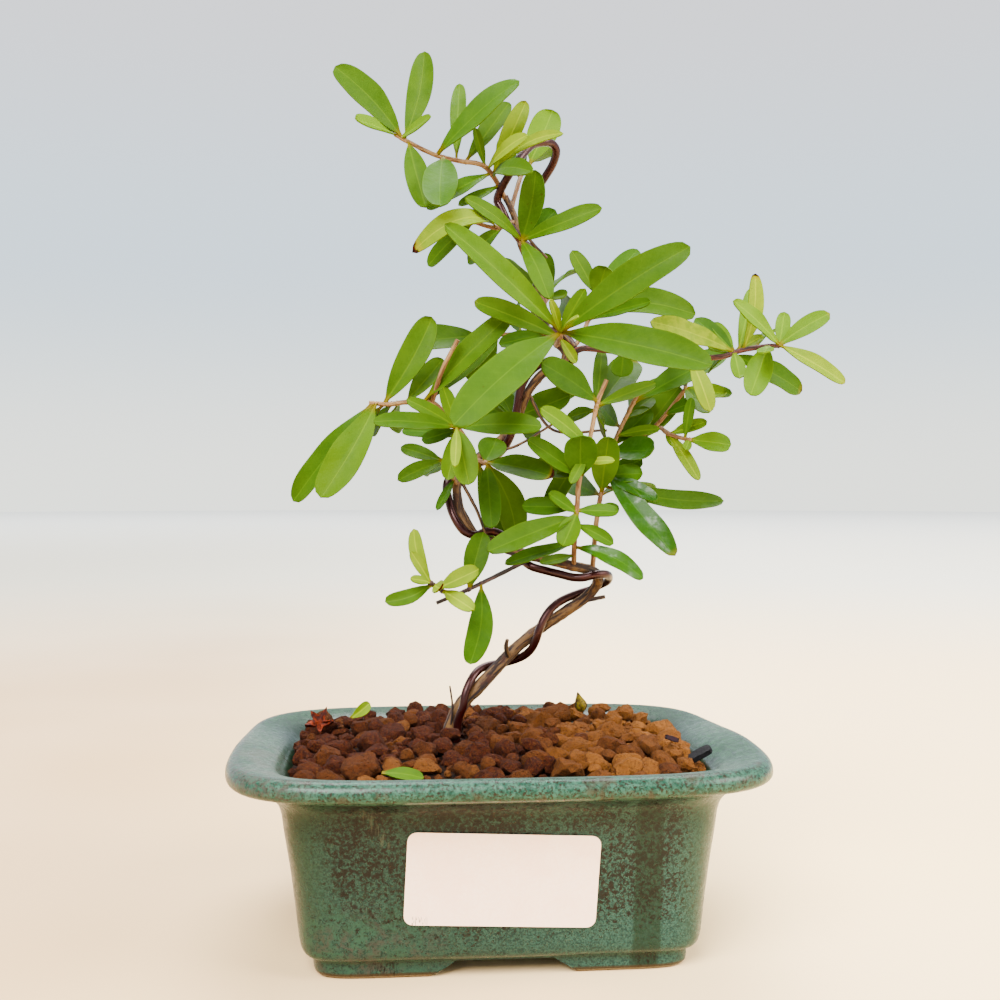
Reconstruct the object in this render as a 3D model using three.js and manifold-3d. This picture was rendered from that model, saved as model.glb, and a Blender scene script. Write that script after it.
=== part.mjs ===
// Pomegranate bonsai in a glazed pot. Millimetres, +Z up, the pot's long side along X and its front at -Y.
// The pot stands on four feet at z = 0. The plant is drawn in a group that is turned a little on the pot.
import * as THREE from 'three';
import { mergeVertices } from 'three/addons/utils/BufferGeometryUtils.js';
import Module from 'manifold-3d';

const wasm = await Module();
wasm.setup();

// ---- driving dimensions ----
const GAP = 0.3;                          // clearance between pieces that touch
const POT = { length: 120.6, depth: 106.8, lipHeight: 45.9 };
const FLOOR_TOP = 6.4;                    // inside floor of the pot
const MOUTH_INSET = 11.6;                 // inside edge of the lip, in from its widest line
const FOOT_HEIGHT = 3.9;
const FOOT_SLOT = { front: 35.8, side: 29, slope: 7 };
const FOOT_WALL = 8;                      // thickness of the angle that each foot forms
const DRAIN = { radius: 4, x: 17 };
const SCREEN = { side: 15, thickness: 0.8, mesh: 2.6, strand: 1.1 };
const LABEL = { width: 40.6, height: 19.1, corner: 2, thickness: 0.4, x: -0.6, z: 22.6, tilt: -2.6 };
const GRANULE = { spacing: 8.6, radius: 4.7, relief: 5.2, jitter: 2.4, seed: 7 };
const SOIL_GRID = 4.8;                    // spacing of the points that shape the soil's surface
const PLANT_TURN = -5.2;                  // degrees about Z, from the pot's axes to the plant's
const PLANT_SHIFT = -0.8;                 // along X, from the middle of the pot
const WIRE_RADIUS = 1;
const WIRE_CLEAR = 0.4;                   // between the wire and the bark
const BLADE = 0.6;                        // thickness of a leaf blade
const PETIOLE = 0.9;                      // thickness and width of a leaf stalk
const AROUND = 32;                        // points around each horizontal section of the pot

// Outside of the pot from the foot up over the lip and down the inside to the floor:
// [inset from the lip's widest line, height, squareness of the plan's corners].
const POT_PROFILE = [
  [20.4, 0, 12],
  [19.2, 0.9, 12],
  [18.9, FOOT_HEIGHT, 12],
  [17.4, 4.6, 11],
  [16.1, 6.6, 9.5],
  [15.1, 13.6, 8.5],
  [14, 22, 8],
  [12.7, 30.5, 7.5],
  [12, 34.6, 7],
  [10.6, 37.4, 6.4],
  [7.4, 39.7, 5.6],
  [3.2, 40.9, 5.1],
  [0.9, 41.7, 4.9],
  [0, 42.9, 4.8],
  [0.3, 44.6, 4.8],
  [1.4, 45.7, 4.8],
  [2.9, POT.lipHeight, 4.8],
  [6, 45.3, 4.9],
  [9.2, 44.2, 5.1],
  [MOUTH_INSET, 42.3, 5.4],
  [13.9, 38.6, 6],
  [18.4, 18, 7.5],
  [22, FLOOR_TOP, 8],
];

// ---- solids ----
function solidOf(geometry) {
  const bare = geometry.clone();
  bare.deleteAttribute('normal');
  bare.deleteAttribute('uv');
  const merged = mergeVertices(bare, 1e-4);
  return new wasm.Manifold(new wasm.Mesh({
    numProp: 3,
    vertProperties: new Float32Array(merged.attributes.position.array),
    triVerts: new Uint32Array(merged.index.array),
  }));
}

function geometryOf(solid) {
  const mesh = solid.getMesh();
  const geometry = new THREE.BufferGeometry();
  geometry.setAttribute('position', new THREE.BufferAttribute(mesh.vertProperties.slice(), 3));
  geometry.setIndex(new THREE.BufferAttribute(mesh.triVerts.slice(), 1));
  geometry.computeVertexNormals();
  return geometry;
}

function largestBody(solid) {
  const bodies = solid.decompose();
  return bodies.reduce((best, body) => (body.volume() > best.volume() ? body : best));
}

// A closed skin over rings of points that all run the same way round; the first and last ring are capped.
// The far half of each ring splits its quads the other way, so that both faces of a blade fold alike.
function loft(rings) {
  const count = rings[0].length;
  const positions = rings.flat().flatMap((point) => [point.x, point.y, point.z]);
  const index = [];
  for (let ring = 0; ring < rings.length - 1; ring += 1) {
    for (let side = 0; side < count; side += 1) {
      const next = (side + 1) % count;
      const a = ring * count + side;
      const b = ring * count + next;
      const c = a + count;
      const d = b + count;
      if (side > count / 2) {
        index.push(a, b, c, b, d, c);
      } else {
        index.push(a, b, d, a, d, c);
      }
    }
  }
  const last = (rings.length - 1) * count;
  for (let side = 1; side < count - 1; side += 1) {
    index.push(0, side + 1, side);
    index.push(last, last + side, last + side + 1);
  }
  const geometry = new THREE.BufferGeometry();
  geometry.setAttribute('position', new THREE.Float32BufferAttribute(positions, 3));
  geometry.setIndex(index);
  geometry.computeVertexNormals();
  return geometry;
}

// One level of the pot: a rectangle with bowed sides and round corners, squarer with a higher exponent.
function planRing(inset, height, squareness) {
  const points = [];
  for (let step = 0; step < AROUND; step += 1) {
    const angle = (2 * Math.PI * step) / AROUND;
    const across = Math.abs(Math.cos(angle)) ** (2 / squareness) * Math.sign(Math.cos(angle));
    const along = Math.abs(Math.sin(angle)) ** (2 / squareness) * Math.sign(Math.sin(angle));
    points.push(new THREE.Vector3(
      (POT.length / 2 - inset) * across,
      (POT.depth / 2 - inset) * along,
      height,
    ));
  }
  return points;
}

function planInset(x, y, squareness) {
  let low = 0;
  let high = POT.depth / 2;
  for (let step = 0; step < 24; step += 1) {
    const inset = (low + high) / 2;
    const reach = (Math.abs(x) / (POT.length / 2 - inset)) ** squareness
      + (Math.abs(y) / (POT.depth / 2 - inset)) ** squareness;
    if (reach < 1) {
      low = inset;
    } else {
      high = inset;
    }
  }
  return low;
}

// Inset of the pot's outer wall at a height, read off the profile.
function wallInset(height) {
  const upper = POT_PROFILE.findIndex(([, level]) => level > height);
  const [insetAbove, levelAbove] = POT_PROFILE[upper];
  const [insetBelow, levelBelow] = POT_PROFILE[upper - 1];
  return THREE.MathUtils.mapLinear(height, levelBelow, levelAbove, insetBelow, insetAbove);
}

function vectors(points) {
  return points.map(([x, y, z]) => new THREE.Vector3(x, y, z));
}

// A round limb along a curve; radius is a function of the share of the way along it.
function limb(curve, radius, sides, steps, overrun = 0) {
  const frames = curve.computeFrenetFrames(steps, false);
  const rings = [];
  for (let step = 0; step <= steps; step += 1) {
    const share = step / steps;
    const centre = curve.getPointAt(share);
    if (step === 0) {
      centre.addScaledVector(frames.tangents[step], -overrun);
    }
    if (step === steps) {
      centre.addScaledVector(frames.tangents[step], overrun);
    }
    const ring = [];
    for (let side = 0; side < sides; side += 1) {
      const angle = (2 * Math.PI * side) / sides;
      ring.push(centre.clone()
        .addScaledVector(frames.normals[step], radius(share) * Math.cos(angle))
        .addScaledVector(frames.binormals[step], radius(share) * Math.sin(angle)));
    }
    rings.push(ring);
  }
  return loft(rings);
}

function meshOf(name, geometry, color, roughness, metalness = 0) {
  const material = new THREE.MeshStandardMaterial({ color, roughness, metalness });
  const mesh = new THREE.Mesh(geometry, material);
  mesh.name = name;
  return mesh;
}

// ---- pot ----
function trapezoidBar(width, slope, height, length) {
  const half = width / 2;
  const shape = new THREE.Shape([
    new THREE.Vector2(-half, -1),
    new THREE.Vector2(half, -1),
    new THREE.Vector2(half - slope, height),
    new THREE.Vector2(-half + slope, height),
  ]);
  const bar = new THREE.ExtrudeGeometry(shape, { depth: length, bevelEnabled: false });
  bar.translate(0, 0, -length / 2);
  bar.rotateX(Math.PI / 2);
  return bar;
}

function buildPot() {
  const levels = POT_PROFILE.map(([inset, height, squareness]) => planRing(inset, height, squareness));
  let pot = solidOf(loft(levels));
  const { front, side, slope } = FOOT_SLOT;
  pot = pot.subtract(solidOf(trapezoidBar(front, slope, FOOT_HEIGHT - 0.3, POT.depth)));
  const sideSlot = trapezoidBar(side, slope, FOOT_HEIGHT - 0.3, POT.length);
  sideSlot.rotateZ(Math.PI / 2);
  pot = pot.subtract(solidOf(sideSlot));
  const hollowInset = wallInset(FOOT_HEIGHT) + FOOT_WALL;
  pot = pot.subtract(solidOf(loft([
    planRing(hollowInset, -1, 12),
    planRing(hollowInset, FOOT_HEIGHT - 0.1, 12),
  ])));
  for (const x of [-DRAIN.x, DRAIN.x]) {
    const hole = new THREE.CylinderGeometry(DRAIN.radius, DRAIN.radius, 3 * FLOOR_TOP, 16);
    hole.rotateX(Math.PI / 2);
    hole.translate(x, 0, 0);
    pot = pot.subtract(solidOf(hole));
  }
  return meshOf('pot', geometryOf(pot), 0x4a7a63, 0.35);
}

// A square of plastic mesh over each drain hole keeps the granules in.
function buildScreen(x) {
  const { side, thickness, mesh, strand } = SCREEN;
  let screen = solidOf(new THREE.BoxGeometry(side, side, thickness));
  const holes = Math.floor((side - strand) / (mesh + strand));
  const pitch = mesh + strand;
  for (let row = 0; row < holes; row += 1) {
    for (let column = 0; column < holes; column += 1) {
      const hole = new THREE.BoxGeometry(mesh, mesh, 3 * thickness);
      hole.translate((column - (holes - 1) / 2) * pitch, (row - (holes - 1) / 2) * pitch, 0);
      screen = screen.subtract(solidOf(hole));
    }
  }
  const geometry = geometryOf(screen);
  geometry.translate(x, 0, FLOOR_TOP + GAP + thickness / 2);
  return meshOf(x < 0 ? 'drain_screen_left' : 'drain_screen_right', geometry, 0x202422, 0.6);
}

// The paper label follows the flare of the front wall.
function buildLabel() {
  const { width, height, corner, thickness, x, z, tilt } = LABEL;
  const plate = new THREE.BoxGeometry(width, 1, height, 1, 1, 4);
  const turn = THREE.MathUtils.degToRad(tilt);
  plate.rotateY(-turn);
  plate.translate(x, 0, z);
  const place = plate.attributes.position;
  for (let point = 0; point < place.count; point += 1) {
    const level = place.getZ(point);
    const wall = -(POT.depth / 2 - wallInset(level)) - GAP;
    const front = place.getY(point) < 0;
    place.setY(point, front ? wall - thickness : wall);
  }
  const outline = new THREE.Shape();
  const halfWidth = width / 2;
  const halfHeight = height / 2;
  outline.moveTo(-halfWidth + corner, -halfHeight);
  outline.lineTo(halfWidth - corner, -halfHeight);
  outline.absarc(halfWidth - corner, -halfHeight + corner, corner, -Math.PI / 2, 0);
  outline.absarc(halfWidth - corner, halfHeight - corner, corner, 0, Math.PI / 2);
  outline.absarc(-halfWidth + corner, halfHeight - corner, corner, Math.PI / 2, Math.PI);
  outline.absarc(-halfWidth + corner, -halfHeight + corner, corner, Math.PI, 1.5 * Math.PI);
  const cutter = new THREE.ExtrudeGeometry(outline, {
    depth: POT.depth, bevelEnabled: false, curveSegments: 3,
  });
  cutter.rotateX(Math.PI / 2);
  cutter.rotateY(-turn);
  cutter.translate(x, 0, z);
  return meshOf('label', geometryOf(solidOf(plate).intersect(solidOf(cutter))), 0xf6e9e0, 0.6);
}

// ---- trunk and wire, in the plant's own axes ----
const TRUNK_POINTS = vectors([
  [-9.6, 5.4, 24], [-9.5, 5, 38], [-9, 5, 45.9], [-6.1, 4, 52], [-1.4, 4, 56.8], [3, 5, 61.4],
  [7.3, 6, 65.6], [12.7, 6, 69.9], [18.4, 5, 73.9], [23.2, 4, 77.3], [25.7, 3, 80], [26.4, 1, 82.4],
  [25.1, -1, 84.3], [20.7, -3, 85.5], [11, -4, 87.9], [5.8, -2, 89.2], [1.3, 1, 91], [-2.2, 2, 92.4],
  [-4.8, 1.5, 94.6], [-6.5, 2, 97.8], [-7.4, 3.4, 101.6], [-7.6, 5, 105], [-6.6, 7, 108.3], [-3.4, 7, 110.7],
  [0, 6, 113.4], [3.9, 5, 116.8], [7.3, 4, 122], [10.2, 2, 128.2], [13.9, 0, 132.1], [17.7, -1, 133.9],
  [18.5, 0, 136.4], [16.4, 2, 139], [14.3, 4, 142.4], [13.3, 4, 148.4], [10.9, 3, 156.2], [7.7, 2, 162.8],
  [6.3, 2, 169.1], [4.1, 2, 174.1],
]);
const TRUNK_GIRTH = [[0, 1.8], [2, 1.8], [4, 1.5], [9, 1.25], [18, 1.1], [28, 1], [37, 0.75]];
// How far round the trunk the wire has come at each of its points, in degrees: 0 in front, 90 on the left
// of the way up, 180 behind.
const WIRE_TURNS = [
  [0, -30], [2, -30], [3, -5], [4, 80], [5, 180], [6, 265], [7, 365], [8, 455], [9, 510], [10, 560],
  [11, 630], [12, 715], [13, 800], [14, 825], [15, 890], [16, 985], [17, 1060], [18, 1110], [19, 1125],
  [20, 1140], [21, 1175], [23, 1280], [25, 1400], [27, 1500], [29, 1620], [31, 1750], [33, 1900],
  [35, 2150], [36, 2235], [37, 2260],
];
// The wire's free end: it leaves the trunk and turns over in a hook above the top.
const WIRE_HOOK = vectors([
  [6.3, -3, 180.2], [7.8, -2, 182.5], [10.6, 1, 186.1], [13.6, 3, 187.3], [15.5, 5, 187.4], [16.5, 6, 186.2],
  [15.9, 8, 183.6], [13.9, 10, 180.5], [12.8, 11, 179],
]);
const TRUNK_CURVE = new THREE.CatmullRomCurve3(TRUNK_POINTS);

function lookUp(table, at) {
  const upper = Math.max(1, table.findIndex(([key]) => key >= at));
  const [keyBelow, below] = table[upper - 1];
  const [keyAbove, above] = table[upper];
  return THREE.MathUtils.mapLinear(at, keyBelow, keyAbove, below, above);
}

const LAST_POINT = TRUNK_POINTS.length - 1;

function trunkRadius(share) {
  const at = TRUNK_CURVE.getUtoTmapping(share) * LAST_POINT;
  return lookUp(TRUNK_GIRTH, at);
}

function wireCurve() {
  const points = [];
  const stepsPerPoint = 3;
  const clear = WIRE_RADIUS + WIRE_CLEAR;
  for (let step = 0; step <= LAST_POINT * stepsPerPoint; step += 1) {
    const at = step / stepsPerPoint;
    const centre = TRUNK_CURVE.getPoint(at / LAST_POINT);
    const along = TRUNK_CURVE.getTangent(at / LAST_POINT);
    const toFront = new THREE.Vector3(0, -1, 0).projectOnPlane(along).normalize();
    const toLeft = toFront.clone().cross(along);
    const angle = THREE.MathUtils.degToRad(lookUp(WIRE_TURNS, at));
    const distance = lookUp(TRUNK_GIRTH, at) + clear;
    points.push(centre
      .addScaledVector(toFront, distance * Math.cos(angle))
      .addScaledVector(toLeft, distance * Math.sin(angle)));
  }
  return new THREE.CatmullRomCurve3([...points, ...WIRE_HOOK]);
}
const WIRE_CURVE = wireCurve();
const TRUNK_STEPS = 54;
const WIRE_STEPS = 82;

function trunkGeometry(grow) {
  return limb(TRUNK_CURVE, (share) => trunkRadius(share) + grow, 6, TRUNK_STEPS, grow);
}

function wireGeometry(grow) {
  return limb(WIRE_CURVE, () => WIRE_RADIUS + grow, 5, WIRE_STEPS, grow);
}

// ---- leafy shoots ----
// Width of a leaf along its length: a long oval that narrows into the stalk and to a blunt tip.
const LARGE_LEAF = [[0.13, 0.32], [0.34, 0.82], [0.62, 1], [0.88, 0.72]];
const SMALL_LEAF = [[0.2, 0.48], [0.52, 1], [0.85, 0.78]];
const TINY_LEAF = [[0.3, 0.7], [0.72, 1]];
const LEAF_TIP = 0.22;                    // width of the blunt tip, as a share of the greatest width
const LEAF_SPAN = 0.86;                   // what a folded blade spans of its flat width
const LARGE_FROM = 37;                    // leaves longer than this have a folded blade
const SMALL_FROM = 14;                    // and those shorter than this a plain short one
const BLADE_FOLD = 0.12;                  // how deep the midrib lies, as a share of the width
const FACE = new THREE.Vector3(0, -0.9, 0.45);
const STEM_STEP = 9;

// A blade from its root on a stem to its tip, turned about its length by roll degrees. Its width is given as
// if it lay flat. Arch is how far its middle rises, as a share of its length, and bow how far it swings to its
// left. Grow makes it larger all over, to cut a clearance with.
function leaf(root, tip, flatWidth, roll, arch, bow = 0, grow = 0) {
  const width = flatWidth * LEAF_SPAN;
  const along = tip.clone().sub(root);
  const length = along.length();
  along.normalize();
  const face = FACE.clone().projectOnPlane(along).normalize();
  face.applyAxisAngle(along, THREE.MathUtils.degToRad(roll));
  const side = face.clone().cross(along);
  const large = length > LARGE_FROM;
  const middle = large ? LARGE_LEAF : (length > SMALL_FROM ? SMALL_LEAF : TINY_LEAF);
  const stations = [[0, PETIOLE / width], ...middle, [1, LEAF_TIP]];
  const rings = stations.map(([share, relative], number) => {
    const rise = arch * length * 4 * share * (1 - share);
    const overrun = number === 0 ? -grow : grow;
    const swing = bow * 4 * share * (1 - share);
    const centre = root.clone().lerp(tip, share).addScaledVector(face, rise).addScaledVector(side, swing);
    if (number === 0 || number === stations.length - 1) {
      centre.addScaledVector(along, overrun);
    }
    const half = (relative * width) / 2 + grow;
    const thick = (number === 0 ? PETIOLE : BLADE) / 2 + grow;
    const fold = number === 0 || number === stations.length - 1 ? 0 : BLADE_FOLD * relative * width;
    const at = (across, up) => centre.clone().addScaledVector(side, across).addScaledVector(face, up);
    if (large) {
      return [at(half, -thick), at(half, thick), at(0, thick - fold), at(-half, thick), at(-half, -thick),
        at(0, -thick - fold)];
    }
    return [at(half, -thick), at(half, thick), at(-half, thick), at(-half, -thick)];
  });
  return loft(rings);
}

// Each branch of a shoot: its stem's points, its radius at the root and at the end, and its leaves as
// [share of the way along the stem, tip x, y, z, width, roll, arch, bow if any].
function buildShoot(name, color, branches, clearance) {
  let shoot = null;
  for (const { stem, radii, leaves } of branches) {
    const curve = new THREE.CatmullRomCurve3(vectors(stem));
    const thickness = (share) => THREE.MathUtils.lerp(radii[0], radii[1], share);
    const steps = Math.max(2, Math.round(curve.getLength() / STEM_STEP));
    const body = solidOf(limb(curve, thickness, 5, steps));
    shoot = shoot ? shoot.add(body) : body;
    for (const [share, x, y, z, width, roll, arch, bow] of leaves) {
      const blade = leaf(curve.getPointAt(share), new THREE.Vector3(x, y, z), width, roll, arch, bow);
      shoot = shoot.add(solidOf(blade));
    }
  }
  return meshOf(name, geometryOf(largestBody(shoot.subtract(clearance))), color, 0.5);
}

const BRIGHT = 0x84b431;
const MIDDLE = 0x5f9634;
const DARK = 0x3f7330;
const YELLOW = 0xa6c845;

const SHOOTS = [
  ['spray_top_left', BRIGHT, [{
    stem: [[4.1, 2, 173.6], [1.5, 0, 178], [-1.3, -3, 180.3], [-6.5, -4, 181], [-12.3, -5, 182.2],
      [-18.2, -6, 184.8], [-21.4, -6, 186.6]],
    radii: [0.65, 0.5],
    leaves: [
      [0.95, -35, -11, 201, 7, 0, 0.06, -0.8], [0.93, -15, -3, 207, 7, 0, 0.05, -1],
      [1, -30, -15, 188, 4, 10, 0.05], [0.95, -13, -13, 189, 3, 0, 0.04], [0.66, 7, -11, 198, 9, -10, 0.08],
      [0.52, -7, 9, 203, 4.5, 0, 0.05], [0.45, 5, 3, 197, 5.5, 0, 0.05], [0.2, 9, -1, 196, 5.5, 0, 0.05],
      [0.3, -3, -7, 188, 2.5, 0, 0.03], [0.26, 9, -12, 185, 4.5, 0, 0.1], [0.2, 17, -14, 184, 4, 0, 0.06],
      [0.18, 10, -19, 175, 5.5, 15, 0.12], [0.9, -14, -14, 168, 6.5, 0, 0.06],
      [0.62, -10.5, -21, 167, 8.5, 0, 0.1], [0.22, -14, -9, 169, 5, 0, 0.05],
      [0.1, -7, -3, 171, 3, 0, 0.04],
    ],
  }]],
  ['spray_apex', MIDDLE, [{
    stem: [[5.4, 2.2, 170.5], [6.8, 7, 176.5], [8.4, 12, 182], [10.2, 14, 184.5]],
    radii: [0.6, 0.5],
    leaves: [
      [1, 16, 17, 199, 9, 0, 0.06], [1, 17, 24, 190, 7.5, -60, 0.08], [0.7, 3, 24, 194, 6.5, -40, 0.06],
      [0.9, 11, 30, 197, 6, -50, 0.08],
    ],
  }]],
  ['spray_below_apex', YELLOW, [{
    stem: [[6, 2, 168], [3.6, -4, 165.7], [0.8, -8, 164.7], [-3.1, -10, 165.5]],
    radii: [0.6, 0.5],
    leaves: [
      [0.6, -17, -15, 158, 6, 0, 0.34], [1, -14, -7, 156, 5.2, 0, 0.1], [0.35, -5, 12, 160, 5, -30, 0.08],
    ],
  }]],
  ['spray_upper_rosette', BRIGHT, [{
    stem: [[8, 2, 162.6], [7.9, -5, 162]],
    radii: [0.65, 0.6],
    leaves: [
      [1, 11, -12, 177, 7, 0, 0.05, -0.8], [1, 26, -14, 168, 5.5, 0, 0.1, -0.8],
      [1, -5, -15, 170, 4.5, 0, 0.08], [0.8, 16, -2, 170, 6, 0, 0.05], [1, 14, -16, 147, 6, 0, 0.12],
    ],
  }]],
  ['spray_rosette_back', MIDDLE, [{
    stem: [[13.3, 4, 148.4], [14.8, 10, 151.2]],
    radii: [0.6, 0.5],
    leaves: [
      [1, 14, 10, 162, 5, 0, 0.05], [1, 19, 5, 151, 4, 0, 0.05], [1, 3, 24, 162, 7, -50, 0.08],
      [1, 24, 30, 161, 6.5, -60, 0.08], [0.9, 14, 36, 161, 7, -70, 0.1],
    ],
  }]],
  ['spray_central', BRIGHT, [{
    stem: [[16.4, 2, 138.4], [16.7, -7, 138.7], [16.6, -14, 139.5]],
    radii: [0.75, 0.65],
    leaves: [
      [1, -9, -26, 162, 8, 0, 0.06], [1, 44, -27, 157, 9, 5, 0.08], [1, 48, -32, 131, 10, 10, 0.1],
      [1, -7, -34, 118, 11, 0, 0.08], [0.7, -3, -12, 147, 6, 0, 0.08], [1, 22, -18, 149, 4, 0, 0.06],
      [1, 14, -22, 146, 2.5, 0, 0.05], [1, 20, -24, 142, 2.5, 0, 0.05], [0.7, 20.5, -10, 133, 3, 0, 0.05],
    ],
  }]],
  ['spray_behind_centre', MIDDLE, [{
    stem: [[18.5, 1, 135.6], [22.6, 9, 141], [25.4, 14, 147.3], [27.1, 16, 152.3]],
    radii: [0.6, 0.5],
    leaves: [
      [1, 21, 18, 164, 5, 0, 0.05], [1, 29, 12, 159, 7.5, 0, 0.05], [1, 38, 22, 165, 6.5, 0, 0.05],
      [0.8, 51, 10, 147, 8.5, 0, 0.1, 2], [0.7, 39, 2, 149, 4, 0, 0.05], [1, 40, 38, 157, 7.5, -60, 0.08],
      [0.7, 19, 40, 155, 7.5, -60, 0.08],
    ],
  }]],
  ['branch_right', BRIGHT, [{
    stem: [[18.4, 0, 135], [21.9, -3, 137], [26.5, -5, 136.6], [37.9, -8, 134.9], [49.2, -10, 134.2],
      [55, -11, 134.6], [57.1, -11, 135.5], [63.6, -12, 136.6], [66.8, -12, 136.8]],
    radii: [0.8, 0.55],
    leaves: [
      [0.8, 37, -16, 142, 6, 0, 0.06], [0.8, 53, -5, 143, 3.5, 0, 0.05], [0.8, 51, -9, 137, 2.5, 0, 0.06],
      [0.8, 64, -8, 139.5, 3, 0, 0.05], [0.82, 62, -5, 151, 4, 0, 0.05],
      [0.84, 61, -14, 153, 4.5, 30, 0.05, -1.2], [1, 55, -20, 146, 5, 0, 0.06],
      [1, 69, -8, 145, 4, 0, 0.05], [1, 78, -14, 144, 5, 0, 0.08], [1, 81, -16, 128, 5, 0, 0.1],
      [0.95, 61, -24, 134, 4.5, 20, 0], [0.95, 59, -19, 125, 7, 0, 0.1], [0.8, 57, -17, 129, 4, 0, 0.05],
      [0.78, 74, -4, 127, 6.5, 0, 0.08], [0.76, 52.5, -2, 132, 4.5, 0, 0.05],
      [0.6, 50.9, -14, 121.7, 5, 0, 0.06], [0.5, 45, 14, 142, 7, -50, 0.08],
      [0.9, 74, 10, 143, 5, -50, 0.08], [0.3, 31, -8, 130, 6, 0, 0.08], [0.8, 48.9, -4, 144.2, 5, 0, 0.05],
    ],
  }]],
  ['spray_left', BRIGHT, [{
    stem: [[-3.4, 7, 111], [-4.4, 5, 114], [-6.7, 3, 117.6], [-10, 0, 121.3], [-13.2, -3, 124.3],
      [-18.2, -5, 124.4], [-23.3, -6, 123.8], [-27.7, -7, 124]],
    radii: [0.8, 0.55],
    leaves: [
      [0.62, 6, -9, 145, 7, 0, 0.08], [0.6, 2, 3, 141, 6.5, 0, 0.06], [0.9, -13, -7, 144, 8, 0, 0.06, -1],
      [0.75, -11, 1, 135, 6, 0, 0.06], [0.95, -38, -15, 102, 9.5, 0, 0.1, 1],
      [0.97, -46, -4, 101, 7, 0, 0.14, 1], [0.85, -28, 4, 117, 4, 0, 0.05],
      [0.8, -22, 18, 119, 6.5, -50, 0.08], [0.9, -37, 16, 114, 6, -50, 0.08],
    ],
  }, {
    stem: [[-13.2, -3, 124.3], [-10.6, -8, 131.5], [-6.9, -10, 138.4]],
    radii: [0.6, 0.5],
    leaves: [],
  }]],
  ['spray_left_front', BRIGHT, [{
    stem: [[-3.6, 6.5, 110.4], [-5.6, -4, 113.1], [-6.7, -12, 116.1], [-7, -16, 117.8]],
    radii: [0.65, 0.5],
    leaves: [
      [1, -25, -24, 119, 5, 0, 0.1], [1, -18, -20, 124, 4, 0, 0.06], [1, -10, -17, 127, 4, 0, 0.05],
      [1, 12, -23, 118, 6.5, 0, 0.08], [1, -7, -27, 109, 2.8, 0, 0.05], [1, -4, -23, 105, 7, 0, 0.08],
      [0.95, -9, -18, 106, 5, 0, 0.06], [0.95, -15, -14, 115, 4, 0, 0.05],
      [0.8, -20, -7, 117.5, 4, 0, 0.05],
    ],
  }]],
  ['spray_low_left', DARK, [{
    stem: [[-7.6, 5, 104.6], [-9.2, -1, 108.2], [-10.5, -3, 110.5]],
    radii: [0.6, 0.5],
    leaves: [
      [1, -21, 3, 114, 4.2, 0, 0.05], [1, -21, -8, 106, 4.6, 0, 0.1], [0.3, -12, -5, 99, 2.5, 0, 0.05],
      [0.8, -16, 22, 109, 6, -50, 0.08],
    ],
  }]],
  ['spray_dark_left', DARK, [{
    stem: [[-2.9, 7, 111], [-1.1, -1, 110.3], [-0.3, -6, 110]],
    radii: [0.6, 0.5],
    leaves: [
      [1, 1, -13, 95, 6, 0, 0.06], [1, 15, -16, 107, 7, 0, 0.08], [0.8, 2, 1, 116, 8, 0, 0.05],
      [0.15, 3.5, 9, 88, 6.5, 0, 0.05], [1, 7, -2, 92, 8.5, 0, 0.04, 1.5],
    ],
  }]],
  ['spray_centre_dark', DARK, [{
    stem: [[3.9, 5, 116.8], [5.9, 10, 119.9], [6.4, 12, 121.5]],
    radii: [0.6, 0.5],
    leaves: [
      [1, 20, 7, 127, 8, 0, 0.08], [1, 3, 16, 128, 6, 0, 0.06], [1, 13, 18, 116, 6.5, 0, 0.06],
      [1, 22.5, 14, 129, 5, 0, 0.06], [1, -5, 24, 127, 7.5, -50, 0.08], [1, 8, 32, 133, 7, -60, 0.08],
    ],
  }]],
  ['spray_back_left', MIDDLE, [{
    stem: [[15, 3, 141], [10.4, 12, 142.3], [2.9, 18, 142.8], [-2.7, 20, 142.7]],
    radii: [0.6, 0.5],
    leaves: [
      [0.1, 2.5, 8, 139.5, 5, 0, 0.05], [1, -20, 18, 141.5, 9.5, 0, 0.05], [0.8, -5, 28, 132, 7, -50, 0.08],
      [1, -2, 32, 144, 7, -60, 0.08], [0.5, 8, 34, 154, 7, -60, 0.08],
    ],
  }]],
  ['shoot_upright_left', MIDDLE, [{
    stem: [[20.3, -3, 85.6], [20.2, -8, 91.4], [20.7, -10, 99.5], [21.1, -11, 106], [22.7, -12, 111.8],
      [23.6, -12, 115.9], [25.2, -12, 123.7], [27.3, -12, 129]],
    radii: [0.65, 0.5],
    leaves: [
      [0.32, 17, -16, 91, 6, 0, 0.06], [0.32, 14, -14, 103, 4, 0, 0.05], [0.3, 0, -19, 90, 7, 0, 0.08],
      [0.16, 4, -15, 87, 4, 10, 0.05], [0.08, 12, -13, 87, 3, 0, 0.03], [0.5, 21, -19, 116, 9, 0, 0.04],
      [0.5, 9, -18, 115, 6, 0, 0.06], [0.66, 12, -20, 122, 5, 0, 0.06], [0.35, 8, -8, 100, 5.4, 0, 0.05],
      [0.88, 12, -22, 132, 8, 0, 0.06], [0.68, 13.5, -4, 98.5, 5.5, 0, 0.05],
      [0.86, 39, -8, 128.5, 4, 0, 0.06], [0.84, 18.5, -4, 120.5, 4.5, 0, 0.05],
      [0.84, 27, -2, 137, 4, 0, 0.04], [0.5, 11, -4, 110, 7, 0, 0.05],
      [0.14, 35.8, -12, 83.5, 5, 0, 0.1, 1], [0.26, 29.2, -9, 91.2, 4, 0, 0.08],
      [0.33, 30, -13, 98.8, 4, 0, 0.05], [0.62, 18.9, -15, 105.2, 3, 0, 0.05],
      [0.58, 29, -14, 110.5, 2.5, 0, 0.04], [0.84, 36, 8, 136, 9, 0, 0.05],
      [0.84, 28, 0, 116.5, 6.5, 0, 0.05],
    ],
  }]],
  ['shoot_upright_right', MIDDLE, [{
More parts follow.
